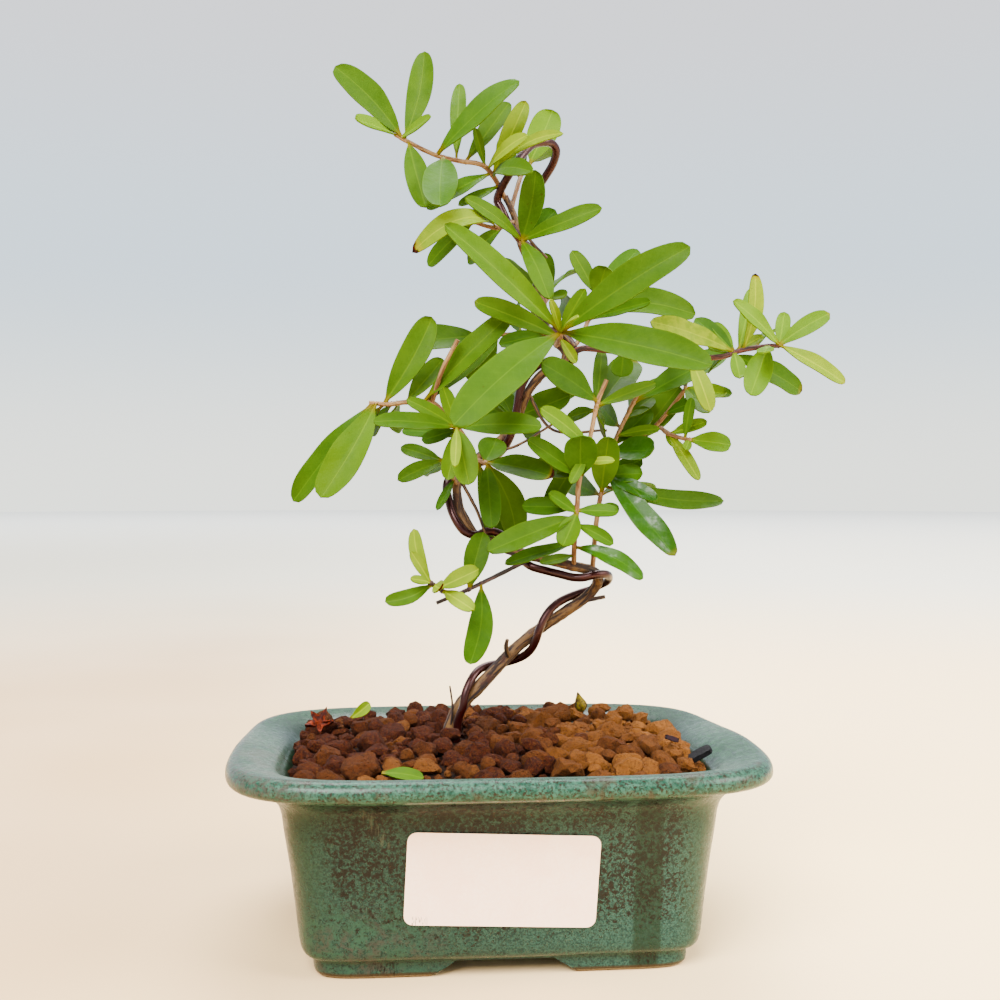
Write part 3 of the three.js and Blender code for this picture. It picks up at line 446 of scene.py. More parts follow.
# Green flecks over brown, thicker towards the foot and the corners and in a few clouds.
corner = times(tree, spread(tree, reckon(tree, "ABSOLUTE", x), 34, 46),
               spread(tree, reckon(tree, "ABSOLUTE", y), 28, 38))
greener = plus(tree, times(tree, corner, 0.16), spread(tree, clouds, 0.35, 0.65, -0.02, 0.05))
greener = plus(tree, times(tree, spread(tree, z, 17, 5), 0.12), greener)
fine_flecks = grain(tree, at, 1.1, 5.0, 0.72, 0.6)
green = spread(tree, plus(tree, fine_flecks, greener), 0.48, 0.54)
wall = tint(tree, spread(tree, patches, 0.4, 0.64), paint(54, 52, 48), paint(42, 50, 48))
lit = spread(tree, x, -30, 45)
wall = tint(tree, green, wall, tint(tree, spread(tree, specks, 0.4, 0.62), paint(60, 90, 84), paint(108, 138, 126)))
wall = tint(tree, spread(tree, specks, 0.56, 0.62, 0.0, 0.85), wall, paint(32, 32, 28))
# Painted light: the wall is painted up to 1.6 times brighter towards the right, where more light falls.
painted_light_wall = tint(tree, 1.0, wall, (2.0, 2.0, 2.2, 1.0), "MULTIPLY")
wall = tint(tree, times(tree, lit, 0.6), wall, painted_light_wall)
# The glaze is thin on the lower left: light teal with lilac grey where the body shows through.
low_left = times(tree, spread(tree, x, 0, -34), spread(tree, plus(tree, z, times(tree, patches, 16.0)), 30, 15))
low_left = times(tree, low_left, spread(tree, flecks, 0.4, 0.56))
worn = tint(tree, spread(tree, patches, 0.47, 0.58), paint(102, 134, 118), paint(118, 118, 110))
worn = tint(tree, spread(tree, specks, 0.56, 0.66), worn, paint(50, 54, 42))
wall = tint(tree, times(tree, low_left, 0.9), wall, worn)
# It runs darker in one band down the right of the front, between two lighter edges.
band = times(tree, spread(tree, x, *BAND[0]), spread(tree, x, *BAND[1]))
band = times(tree, times(tree, band, front), spread(tree, flecks, 0.75, 0.4, 0.6, 1.0))
wall = tint(tree, times(tree, band, 0.92), wall, tint(tree, green, paint(30, 54, 46), paint(60, 94, 80)))
# Thin glaze over the corners shows the pale body under it.
wall = tint(tree, times(tree, corner, spread(tree, flecks, 0.35, 0.6, 0.25, 0.75)), wall, paint(84, 112, 88))
# The lip: turquoise on top, streaked and darkening towards the soil, with brown and pale beads on its edge.
lip_streaks = grain(tree, stretched(tree, at, (1.0, 0.35, 0.2)), 1.1, 4.0, 0.65)
lip = tint(tree, spread(tree, lip_streaks, 0.4, 0.62), paint(58, 104, 78), paint(90, 132, 102))
lip = tint(tree, spread(tree, specks, 0.64, 0.72, 0.0, 0.6), lip, paint(44, 66, 52))
lip_left = times(tree, spread(tree, x, -34, -52), spread(tree, y, 10, -22))
lip = tint(tree, times(tree, lip_left, spread(tree, patches, 0.4, 0.6, 0.15, 0.8)), lip, paint(134, 138, 126))
rim_edge = times(tree, spread(tree, z, 39.6, 41.2), reckon(tree, "SUBTRACT", 1.0, inside))
edge_coat = tint(tree, spread(tree, flecks, 0.42, 0.6), paint(84, 120, 106), paint(118, 154, 138))
edge_coat = tint(tree, spread(tree, patches, 0.54, 0.64, 0.0, 0.7), edge_coat, paint(116, 106, 90))
edge_coat = tint(tree, spread(tree, specks, 0.52, 0.6), edge_coat, paint(84, 76, 60))
edge_left = times(tree, spread(tree, x, -36, -52), spread(tree, fine_flecks, 0.42, 0.56))
edge_coat = tint(tree, times(tree, edge_left, 0.8), edge_coat, paint(128, 126, 118))
wall = tint(tree, rim_edge, wall, edge_coat)
coat = tint(tree, inside, wall, lip)
deep = times(tree, inside, spread(tree, z, 44.4, 41.0))
coat = tint(tree, times(tree, deep, 0.85), coat, paint(40, 80, 64))
# Bare biscuit under the feet, with a brown line where the glaze was wiped off.
bare = spread(tree, z, 0.75, 0.45)
line = times(tree, spread(tree, z, 1.5, 1.0), spread(tree, z, 0.4, 0.8))
coat = tint(tree, times(tree, line, 0.8), coat, paint(112, 90, 64))
coat = tint(tree, bare, coat, tint(tree, spread(tree, specks, 0.4, 0.6), paint(206, 192, 168), paint(184, 164, 136)))
# Pale scratches at the top left of the front, and thin black ones on its two feet.
scratch = grain(tree, stretched(tree, at, (1.0, 0.3, 0.16), (0.0, 0.9, 0.0)), 1.6, 3.0, 0.6, 0.8)
slant = reckon(tree, "MULTIPLY_ADD", z, 0.55, x)
scuff = times(tree, near_to(tree, slant, -8.6, 2.6, 0.6), near_to(tree, z, SCUFF_LEVEL, 5.4, 3.6))
scuff = times(tree, times(tree, scuff, front), spread(tree, scratch, 0.48, 0.62))
coat = tint(tree, times(tree, scuff, 0.5), coat, paint(138, 142, 128))
for middle, level in HAIR_SCRATCHES:
    hairs = times(tree, near_to(tree, x, middle, 3.4, 2.2), near_to(tree, z, level, 2.2, 1.0))
    hairs = times(tree, times(tree, hairs, front), near_to(tree, scratch, 0.5, 0.035, 0.015))
    coat = tint(tree, hairs, coat, paint(12, 12, 10))
dull = reckon(tree, "MAXIMUM", spread(tree, flecks, 0.35, 0.65, 0.24, 0.4), times(tree, bare, 0.85))
shader.inputs["Specular IOR Level"].default_value = 0.18
shallow = relief(tree, grain(tree, at, 0.22, 3.0), 0.5, 0.5)
feed(tree, shader, coat, dull, relief(tree, flecks, 0.35, 0.12, shallow))
pot.data.materials.append(glaze)
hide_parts("pot")
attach(pot, "root")

# ------------------------------------------------------------------------------------------------- drain screens
# A square of black plastic netting lies over each drain hole and keeps the granules in. Moulded polythene.
netting, tree, shader = new_finish("black_netting", 0.5)
at = millimetres(tree)
dust = grain(tree, at, 0.6, 3.0)
coat = tint(tree, spread(tree, dust, 0.45, 0.7), paint(26, 28, 27), paint(74, 64, 54))
feed(tree, shader, coat, spread(tree, dust, 0.3, 0.7, 0.4, 0.75), relief(tree, grain(tree, at, 2.5), 0.4, 0.1))
for node_name in ("drain_screen_left", "drain_screen_right"):
    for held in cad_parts[node_name].material_slots:
        held.material = netting

# --------------------------------------------------------------------------------------------------------- label
# A bare paper sticker on the front wall, with rounded corners, a little crooked. Thin coated paper, pressed on by
# hand so that it follows the flare of the wall.
LABEL_WIDTH = 40.6
LABEL_HEIGHT = 20.2
LABEL_CORNER = 2.0
LABEL_PLACE = (-1.0, 22.1)
LABEL_TILT = -2.6
LABEL_THICK = 0.16
LABEL_CLEAR = 0.16
LABEL_RIPPLE = 0.05
SMUDGE_PLACE = (-18.8, 13.6)               # x and height of the rubbed spot at its lower left

bm = bmesh.new()
bmesh.ops.create_grid(bm, x_segments=60, y_segments=30, size=1.0)
for vert in bm.verts:
    x = vert.co.x * LABEL_WIDTH / 2
    z = vert.co.y * LABEL_HEIGHT / 2
    over_x = abs(x) - (LABEL_WIDTH / 2 - LABEL_CORNER)
    over_z = abs(z) - (LABEL_HEIGHT / 2 - LABEL_CORNER)
    if over_x > 0 and over_z > 0:
        # The square corner is drawn in to a quarter circle.
        reach = math.hypot(over_x, over_z)
        share = max(over_x, over_z) / reach
        x -= math.copysign(over_x * (1 - share), x)
        z -= math.copysign(over_z * (1 - share), z)
    vert.co = Vector((x, 0, z))
bmesh.ops.rotate(bm, verts=bm.verts, matrix=Matrix.Rotation(math.radians(-LABEL_TILT), 3, "Y"))
for vert in bm.verts:
    x, z = vert.co.x + LABEL_PLACE[0], vert.co.z + LABEL_PLACE[1]
    ripple = LABEL_RIPPLE * noise.noise(Vector((x, 0, z)) * 0.16)
    vert.co = Vector((x, -(POT_DEPTH / 2 - wall_inset(z)) - LABEL_CLEAR - ripple, z))
grown = bmesh.ops.extrude_face_region(bm, geom=bm.faces[:], use_keep_orig=True)["geom"]
bmesh.ops.translate(bm, verts=points_of(grown), vec=(0, -LABEL_THICK, 0))
bmesh.ops.transform(bm, matrix=pot_axes, verts=bm.verts)

sticker, tree, shader = new_finish("label_paper", 0.45)
at = millimetres(tree, pot_centre)
x, y, z = split(tree, at)
fibre = grain(tree, at, 1.4, 4.0)
cloud = grain(tree, at, 0.12, 3.0)
paper = tint(tree, spread(tree, fibre, 0.35, 0.65), screen(255, 224, 200), screen(253, 218, 190))
paper = tint(tree, spread(tree, cloud, 0.45, 0.7, 0.0, 0.5), paper, screen(250, 210, 182))
smudge = times(tree, near_to(tree, x, SMUDGE_PLACE[0], 2.6, 0.6), near_to(tree, z, SMUDGE_PLACE[1], 1.5, 0.4))
hairs = grain(tree, stretched(tree, at, (1.0, 0.3, 0.22), (0.0, 0.6, 0.0)), 2.0, 2.0, 0.6, 0.8)
paper = tint(tree, times(tree, smudge, spread(tree, hairs, 0.54, 0.6, 0.0, 0.85)), paper, paint(66, 52, 46))
feed(tree, shader, paper, spread(tree, cloud, 0.3, 0.7, 0.36, 0.5), relief(tree, fibre, 0.25, 0.04))
label = make_piece("paper_label", bm, [sticker], 50.0)
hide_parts("label")
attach(label, "root")

# ---------------------------------------------------------------------------------------------------------- soil
# Hard-fired clay and pumice granules in mixed sizes, dark red-brown to tan, heaped a little over the lip's dish.
# Loose in the pot: the upper ones are modelled one by one on a bed of the fine stuff that has sunk between, painted
# near black as the shade in the gaps.
SOIL_CLEAR = 0.5
SOIL_BED = [(12.1, 39.2, 5.5), (15, 40.0, 5.5), (20, 41.0, 5.5), (27, 41.9, 5.5), (36, 42.6, 5.0), (46, 42.8, 4.0),
            (52, 42.8, 3.0), (53.2, 42.8, 2.4)]
SOIL_MOUND = [(12, 39.6), (18, 41.0), (27, 42.2), (40, 43.0), (60, 43.0)]
MOUND_SQUARENESS = 5.5
BACK_HEAP = 1.3                            # how much higher the soil lies at the back
SOIL_REACH = (47, 41)                      # to either side, and to the front and back
SOIL_EDGE = 12.5                           # inset of the outermost granules
BED_GAP = 0.4                              # above the pot's floor
BED_EDGE = 39.0                            # up to here the bed lies against the pot's inner wall
BED_LUMPS = 0.7
GRANULE_KINDS = [(90, 3.5, 4.5), (420, 2.7, 3.5), (520, 1.9, 2.6), (2600, 1.0, 1.6)]   # tries, girths from and to
GRANULE_TOUCH = 0.86                       # how near two of them come, as a share of their girths
GRANULE_PERCH = 0.72                       # from this share of that on, one of up to a middle girth lies over others
SMALL_GIRTH = 1.7                          # smaller ones lie low, in the gaps
MIDDLE_GIRTH = 2.9
LARGE_GIRTH = 3.4
GRANULE_FACETS = 11
FACET_DEPTHS = (0.56, 0.92)                # as a share of the girth, from the middle
ROUND_LIMIT = 1.06
GRANULE_SQUEEZE = [(0.86, 1.16), (0.8, 1.05), (0.66, 0.92)]
KNOBS = [(0.06, 1.9), (0.1, 4.3), (0.12, 9.0)]     # height and waves
PUMICE_SHARE = 0.012
TRUNK_FOOT = (-9.9, 5.8)
TRUNK_ROOM = 3.0
# What lies on the granules: x, y, reach and how high they may come under it.
CLEAR_OF = [(-38.4, 14.6, 6.0, 44.6), (-18.8, -33, 6.0, 42.6), (-30.8, 25.0, 5.5, 45.4), (25.2, 20.4, 3.5, 45.4),
            (45.0, -23.7, 5.0, 42.4), (40.7, -14.5, 4.0, 44.6)]


def look_up(table, at):
    """The value at a place between the rows of a table."""
    for (low, value), (high, next_value) in zip(table, table[1:]):
        if at <= high:
            return value + (next_value - value) * (at - low) / (high - low)
    return table[-1][1]


bm = bmesh.new()
inner_wall = [(inset + SOIL_CLEAR, max(height, FLOOR_TOP + BED_GAP), square)
              for inset, height, square in smooth_profile[:lip_top:-1] if height < BED_EDGE]
bed_levels = inner_wall + SOIL_BED


def place_bed(vert, number, turn):
    inset, height, squareness = bed_levels[number]
    x, y = plan_point(turn, inset, squareness)
    lumps = noise.noise(Vector((x, y, 0)) * 0.45) if number >= len(inner_wall) else 0.0
    vert.co = pot_centre + Vector((x, y, height + BED_LUMPS * lumps)) * MM


skin(bm, 96, len(bed_levels), place_bed)

soil_random = random.Random(11)
granule_tint = bm.verts.layers.float_color.new("granule_tint")
# Painted shade: the bed is near black, for the shade in the gaps between the granules.
for vert in bm.verts:
    vert[granule_tint] = paint(26, 14, 8)
# A few large ones lie heaped against the back of the lip.
HEAPED = [(-30, 36.5, 43.9, 2.6), (-17, 37, 44.7, 2.7), (-3, 37.4, 43.8, 2.4), (19, 37.6, 44.4, 2.5),
          (26, 36.8, 44.7, 2.9), (33, 36.4, 44.6, 2.5), (39, 33, 44.2, 2.8), (41, 24, 44.0, 2.6)]
settled = list(HEAPED)
for tries, small, large in GRANULE_KINDS:
    for _ in range(tries):
        girth = soil_random.uniform(small, large)
        x = soil_random.uniform(-SOIL_REACH[0], SOIL_REACH[0])
        y = soil_random.uniform(-SOIL_REACH[1], SOIL_REACH[1])
        inset = plan_inset(x, y, MOUND_SQUARENESS)
        if inset < SOIL_EDGE + girth * 0.85:
            continue
        z = look_up(SOIL_MOUND, inset) + girth * soil_random.uniform(0.05, 0.5) + BACK_HEAP * eased(y, 5, 30)
        apart = min(math.hypot(x - over_x, y - over_y) / (GRANULE_TOUCH * (girth + other_girth))
                    for over_x, over_y, _, other_girth in settled)
        if apart < 1.0 and not (girth < MIDDLE_GIRTH and apart > GRANULE_PERCH):
            continue
        if apart < 1.0 and girth > SMALL_GIRTH:
            z += girth * 0.5
        if girth < SMALL_GIRTH:
            z -= 0.2
        if math.hypot(x - TRUNK_FOOT[0], y - TRUNK_FOOT[1]) < TRUNK_ROOM + girth:
            continue
        for over_x, over_y, reach, height in CLEAR_OF:
            if math.hypot(x - over_x, y - over_y) < reach:
                z = min(z, height - girth * 0.8)
        settled.append((x, y, z, girth))

for number, (x, y, z, girth) in enumerate(settled):
    fine = 3 if girth > LARGE_GIRTH else 2 if girth > SMALL_GIRTH else 1
    verts = bmesh.ops.create_icosphere(bm, subdivisions=fine, radius=1.0)["verts"]
    squeeze = Vector([soil_random.uniform(*limits) for limits in GRANULE_SQUEEZE])
    turned = Matrix.Rotation(soil_random.uniform(0, 6.28), 3, "Z")
    turned = turned @ Matrix.Rotation(soil_random.uniform(-0.6, 0.6), 3, "X")
    seed = Vector((number * 3.7, number * 1.3, 0))
    # Its tone: paler towards the right and at the front left, and darker across the middle.
    warm = 0.45 * noise.noise(Vector((x, y, 3)) * 0.05) + 0.011 * x + 0.75 * (soil_random.random() - 0.5)
    warm += 0.45 if (y < -22 and x < -12) else 0.0
    warm -= 0.34 * (1 - eased(abs(x + 2), 8, 28))
    warm = min(max(0.34 + warm, 0.0), 1.0)
    if soil_random.random() < PUMICE_SHARE and girth < MIDDLE_GIRTH:
        shade = paint(120, 108, 94)
    else:
        dark, pale = Vector(paint(106, 64, 38)), Vector(paint(194, 152, 108))
        shade = tuple(dark.lerp(pale, warm))
    facets = [(Vector([soil_random.gauss(0, 1) for _ in range(3)]).normalized(), soil_random.uniform(*FACET_DEPTHS))
              for _ in range(GRANULE_FACETS)]
    for vert in verts:
        ray = vert.co.normalized()
        # Broken faces: each facet cuts the round form back to a plane.
        cut = min(min(depth / max(ray.dot(facet), 0.05) for facet, depth in facets), ROUND_LIMIT)
        knobs = sum(height * noise.noise(ray * waves + seed) for height, waves in KNOBS)
        body = ray * (cut + knobs)
        body = Vector((body.x * squeeze.x, body.y * squeeze.y, body.z * squeeze.z))
        vert.co = pot_centre + (turned @ body * girth + Vector((x, y, z))) * MM
        vert[granule_tint] = shade

granules, tree, shader = new_finish("fired_granules", 0.95)
at = millimetres(tree)
own = carried(tree, "granule_tint", "Color")
mottle = grain(tree, at, 0.95, 5.0, 0.7)
pits = place_node(tree, "ShaderNodeTexVoronoi", {"Vector": at, "Scale": 1.3, "Randomness": 1.0}).outputs["Distance"]
pores = spread(tree, pits, 0.18, 0.34)
coat = tint(tree, spread(tree, mottle, 0.45, 0.7, 0.0, 0.35), own, paint(168, 116, 78))
coat = tint(tree, spread(tree, mottle, 0.48, 0.36, 0.0, 0.35), coat, paint(58, 32, 18))
coat = tint(tree, times(tree, reckon(tree, "SUBTRACT", 1.0, pores), 0.28), coat, paint(58, 32, 18))
dust = grain(tree, at, 2.6, 3.0)
coat = tint(tree, spread(tree, dust, 0.5, 0.68, 0.0, 0.2), coat, paint(200, 160, 118))
rough = relief(tree, grain(tree, at, 1.0, 6.0, 0.78), 1.0, 0.9)
rough = relief(tree, grain(tree, at, 3.2, 3.0, 0.7), 1.0, 0.45, rough)
feed(tree, shader, coat, spread(tree, dust, 0.3, 0.7, 0.84, 1.0), relief(tree, pores, 0.8, 0.35, rough))
shader.inputs["Specular IOR Level"].default_value = 0.1
soil = make_piece("soil_granules", bm, [granules], 32.0)
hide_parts("soil")
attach(soil, "root")

# --------------------------------------------------------------------------------------------------------- trunk
# The living trunk, bent by hand into curves: a pencil-thin stem with flaky, fissured bark, tan where a flake has
# come off. Short dead stubs and a few bare twigs stay on it. It stands loose in the soil.
TRUNK_POINTS = [
    (-9.6, 5.4, 24), (-9.5, 5, 38), (-9, 5, 45.9), (-6.1, 4, 52), (-1.4, 4, 56.8), (3, 5, 61.4),
    (7.3, 6, 65.6), (12.7, 6, 69.9), (18.4, 5, 73.9), (23.2, 4, 77.3), (25.7, 3, 80), (26.4, 1, 82.4),
    (25.1, -1, 84.3), (20.7, -3, 85.5), (11, -4, 87.9), (5.8, -2, 89.2), (1.3, 1, 91), (-2.2, 2, 92.4),
    (-4.8, 1.5, 94.6), (-6.5, 2, 97.8), (-7.4, 3.4, 101.6), (-7.6, 5, 105), (-6.6, 7, 108.3), (-3.4, 7, 110.7),
    (0, 6, 113.4), (3.9, 5, 116.8), (7.3, 4, 122), (10.2, 2, 128.2), (13.9, 0, 132.1), (17.7, -1, 133.9),
    (18.5, 0, 136.4), (16.4, 2, 139), (14.3, 4, 142.4), (13.3, 4, 148.4), (10.9, 3, 156.2), (7.7, 2, 162.8),
    (6.3, 2, 169.1), (4.1, 2, 174.1),
]
TRUNK_GIRTH = [(0, 1.8), (2, 1.8), (4, 1.5), (9, 1.25), (18, 1.1), (28, 1), (37, 0.75)]
TRUNK_STEP = 0.75
TRUNK_SIDES = 22
TWIG_STEP = 0.9
TWIG_SIDES = 9
TWIG_RIDGE = 0.09
# Dead stubs and bare twigs: points, thickness at the root and at the end.
DEAD_TWIGS = [
    ([(4.8, 4.4, 63.4), (4.3, 1.4, 66.0), (4.6, 0.6, 67.8)], 0.7, 0.45),
    ([(22.5, 4.0, 76.6), (25.6, 2.8, 77.4), (28.2, 2.4, 77.9)], 0.6, 0.45),
    ([(13.3, 4, 146.2), (16.8, 0, 141.9), (20.6, -3, 137.6)], 0.6, 0.4),
    ([(9.6, 2.6, 127), (15.5, 3.5, 118.2), (28.6, 2.4, 118.0)], 0.45, 0.3),
    ([(5.8, 2.2, 169.8), (9.5, 1, 164.0), (14.0, -1, 158.8)], 0.45, 0.3),
    ([(-9.3, 4.4, 44.5), (-8.6, 1.6, 51.5), (-9.2, 1.0, 56.6)], 0.34, 0.2),
    ([(-7.4, 4.2, 101.0), (-4.4, 1.4, 96.0), (-2.4, 0.4, 92.6)], 0.5, 0.4),
    ([(-6.4, 2.0, 105.6), (-2.6, -0.4, 98.6), (-0.4, -0.8, 92.2)], 0.45, 0.35),
    ([(-1.2, 4.0, 112.4), (6.2, 0.6, 114.0), (15.5, -1.0, 119.4)], 0.4, 0.3),
]


def path_point(points, at):
    """A point on the smooth path through points, where a whole number is one of them."""
    number = min(int(at), len(points) - 2)
    t = at - number
    p1, p2 = points[number], points[number + 1]
    p0 = points[number - 1] if number > 0 else p1 * 2 - p2
    p3 = points[number + 2] if number + 2 < len(points) else p2 * 2 - p1
    d0, d1, d2 = (max((b - a).length ** 0.5, 1e-4) for a, b in ((p0, p1), (p1, p2), (p2, p3)))
    t1 = ((p1 - p0) / d0 - (p2 - p0) / (d0 + d1) + (p2 - p1) / d1) * d1
    t2 = ((p2 - p1) / d1 - (p3 - p1) / (d1 + d2) + (p3 - p2) / d2) * d1
    return p1 + t1 * t + (-3 * p1 + 3 * p2 - 2 * t1 - t2) * t * t + (2 * p1 - 2 * p2 + t1 + t2) * t ** 3


def even_path(points, step):
    """Points a step apart along the smooth path, each with the place it has in the list of points."""
    fine = 14
    ats = [number / fine for number in range((len(points) - 1) * fine + 1)]
    dense = [path_point(points, at) for at in ats]
    far = [0.0]
    for before, after in zip(dense, dense[1:]):
        far.append(far[-1] + (after - before).length)
    count = max(2, round(far[-1] / step))
    made, number = [], 0
    for stop in range(count + 1):
        goal = far[-1] * stop / count
        while number < len(far) - 2 and far[number + 1] < goal:
            number += 1
        share = (goal - far[number]) / max(far[number + 1] - far[number], 1e-9)
        made.append((dense[number].lerp(dense[number + 1], share), ats[number] + share / fine, goal))
    return made


plant_middle = pot_centre + Vector((PLANT_SHIFT * MM, 0, 0))
plant_turn = Matrix.Rotation(math.radians(PLANT_TURN), 4, "Z")
plant_axes = Matrix.Translation(plant_middle) @ plant_turn @ Matrix.Scale(MM, 4)


def grow_limb(bm, points, step, sides, girth, straight=None):
    """A round limb along a path in the plant's axes. Girth takes the place on the path, the distance and the turn.
    Straight is the layer that keeps each point's place on the limb laid out straight."""
    stops = even_path([Vector(point) for point in points], step)
    ways = []
    for number in range(len(stops)):
        ahead = stops[min(number + 1, len(stops) - 1)][0] - stops[max(number - 1, 0)][0]
        ways.append(ahead.normalized())
    start = ways[0].orthogonal().normalized()
    sideways = []
    for number, way in enumerate(ways):
        if number:
            start = ways[number - 1].rotation_difference(way) @ start
        start = (start - way * start.dot(way)).normalized()
        sideways.append(start)

    def place(vert, number, turn):
        centre, at, far = stops[number]
        reach = girth(at, far, turn)
        across = sideways[number] * math.cos(turn) + ways[number].cross(sideways[number]) * math.sin(turn)
        vert.co = plant_axes @ (centre + across * reach)
        if straight is not None:
            vert[straight] = Vector((reach * math.cos(turn), reach * math.sin(turn), far))

    skin(bm, sides, len(stops), place)


def trunk_girth(at, far, turn):
    around = Vector((math.cos(turn) * 1.5, math.sin(turn) * 1.5, far * 0.22))
    ridges = noise.noise(around * 1.3)
    flakes = max(0.0, noise.noise(around * 2.9 + Vector((7, 0, 0))) - 0.08)
    swell = 0.12 * noise.noise(Vector((0, 0, far * 0.13)))
    return look_up(TRUNK_GIRTH, at) * (1.0 + swell) + 0.1 * ridges + 0.3 * flakes


bm = bmesh.new()
straight = bm.verts.layers.float_vector.new("straight")
grow_limb(bm, TRUNK_POINTS, TRUNK_STEP, TRUNK_SIDES, trunk_girth, straight)
for points, root_girth, end_girth in DEAD_TWIGS:
    def twig_girth(at, far, turn):
        ridge = TWIG_RIDGE * noise.noise(Vector((math.cos(turn), math.sin(turn), far * 0.7)))
        return root_girth + (end_girth - root_girth) * at / (len(points) - 1) + ridge

    grow_limb(bm, points, TWIG_STEP, TWIG_SIDES, twig_girth, straight)


def bark_finish(name, flake, fissure, young, scale):
    """Bark on a straightened limb: long fissures, paler flakes and a little lichen."""
    finish, tree, shader = new_finish(name, 0.85)
    place = carried(tree, "straight")
    along = stretched(tree, place, (1.0, 1.0, 0.13))
    strips = grain(tree, along, 0.95 * scale, 4.0, 0.6, 0.5)
    plates = grain(tree, place, 0.42 * scale, 4.0, 0.6, 0.3)
    fine = grain(tree, place, 2.4 * scale, 3.0)
    coat = tint(tree, spread(tree, strips, 0.44, 0.56), fissure, flake)
    coat = tint(tree, spread(tree, plates, 0.54, 0.66), coat, young)
    coat = tint(tree, spread(tree, plates, 0.42, 0.3, 0.0, 0.6), coat, fissure)
    coat = tint(tree, spread(tree, fine, 0.62, 0.75, 0.0, 0.35), coat, paint(190, 166, 120))
    cracks = relief(tree, strips, 0.9, 0.35)
    feed(tree, shader, coat, spread(tree, strips, 0.4, 0.6, 0.9, 0.66), relief(tree, fine, 0.5, 0.12, cracks))
    return finish


old_bark = bark_finish("old_bark", paint(166, 136, 88), paint(78, 46, 32), paint(118, 78, 50), 1.0)
trunk = make_piece("trunk_bark", bm, [old_bark], 80.0)
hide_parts("trunk")
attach(trunk, "root")

# ------------------------------------------------------------------------------------------------- training wire
# Soft aluminium wire, anodised a dark reddish brown, wound up the trunk by hand to hold its curves. Its upper end
# leaves the bark and turns over in a hook.
WIRE_GIRTH = 1.0
WIRE_CLEAR = 0.4
WIRE_STEP = 0.8
WIRE_SIDES = 14
WIRE_DENTS = 0.03
STOPS_BETWEEN = 3                          # places of the wire from one point of the trunk to the next
# How far round the trunk the wire has come at each of the trunk's points, in degrees: 0 in front, 90 on the left.
WIRE_TURNS = [
    (0, -30), (2, -30), (3, -5), (4, 80), (5, 180), (6, 265), (7, 365), (8, 455), (9, 510), (10, 560), (11, 630),
    (12, 715), (13, 800), (14, 825), (15, 890), (16, 985), (17, 1060), (18, 1110), (19, 1125), (20, 1140),
    (21, 1175), (23, 1280), (25, 1400), (27, 1500), (29, 1620), (31, 1750), (33, 1900), (35, 2150), (36, 2235),
    (37, 2260),
]
WIRE_HOOK = [
    (6.3, -3, 180.2), (7.8, -2, 182.5), (10.6, 1, 186.1), (13.6, 3, 187.3), (15.5, 5, 187.4), (16.5, 6, 186.2),
    (15.9, 8, 183.6), (13.9, 10, 180.5), (12.8, 11, 179),
]
trunk_path = [Vector(point) for point in TRUNK_POINTS]
wire_points = []
for stop in range((len(trunk_path) - 1) * STOPS_BETWEEN + 1):
    at = stop / STOPS_BETWEEN
    ahead, behind = min(at + 0.01, len(trunk_path) - 1), max(at - 0.01, 0)
    way = (path_point(trunk_path, ahead) - path_point(trunk_path, behind)).normalized()
    to_front = Vector((0, -1, 0)) - way * Vector((0, -1, 0)).dot(way)
    to_front.normalize()
    to_left = to_front.cross(way)
    angle = math.radians(look_up(WIRE_TURNS, at))
    apart = look_up(TRUNK_GIRTH, at) + WIRE_GIRTH + WIRE_CLEAR
    wire_points.append(path_point(trunk_path, at) + (to_front * math.cos(angle) + to_left * math.sin(angle)) * apart)
wire_points += [Vector(point) for point in WIRE_HOOK]


def wire_girth(at, far, turn):
    return WIRE_GIRTH + WIRE_DENTS * noise.noise(Vector((math.cos(turn), math.sin(turn), far * 0.3)))


bm = bmesh.new()
straight = bm.verts.layers.float_vector.new("straight")
grow_limb(bm, wire_points, WIRE_STEP, WIRE_SIDES, wire_girth, straight)
anodised, tree, shader = new_finish("brown_anodised_wire", 0.3)
place = carried(tree, "straight")
lines = grain(tree, stretched(tree, place, (1.0, 1.0, 0.06)), 3.5, 3.0)
rubs = grain(tree, place, 0.35, 4.0)
coat = tint(tree, spread(tree, lines, 0.4, 0.65, 0.0, 0.5), paint(92, 38, 30), paint(120, 54, 42))
coat = tint(tree, spread(tree, rubs, 0.6, 0.75, 0.0, 0.5), coat, paint(156, 92, 70))
shader.inputs["Metallic"].default_value = 0.6
feed(tree, shader, coat, spread(tree, rubs, 0.3, 0.7, 0.24, 0.44), relief(tree, lines, 0.25, 0.05))
wire = make_piece("wound_wire", bm, [anodised], 80.0)
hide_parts("training_wire")
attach(wire, "root")

# -------------------------------------------------------------------------------------------------- leafy shoots
# Short spurs and young branches with glossy leaves in tufts: long narrow ovals on a short stalk, with a pale
# midrib and a blunt tip. Grown, so no two are alike: bright ones outside, dark ones in the shade, a few drying.
LEAF_THICK = 0.36
STALK_THICK = 0.6
LEAF_SPAN = 0.86                           # what a folded blade spans of its flat width
BLADE_FOLD = 0.12
LEAF_FACE = Vector((0, -0.9, 0.45))
LEAF_GRID = (8, 18)                        # faces across and along
SMALL_LEAF = 14
SMALL_LEAF_GRID = (6, 10)
LEAF_STALK = 0.04                          # these four are shares of the leaf's length
LEAF_RISE = 0.56
LEAF_WIDEST = 0.6
LEAF_FALL = 0.4
STEM_STEP = 0.8
STEM_SIDES = 9
STEM_RIDGE = 0.07
SPUR_STEP = 0.25                           # between the places where a leaf may stand
SPUR_GIRTHS = (0.55, 0.75)
FIRST_SEED = 101
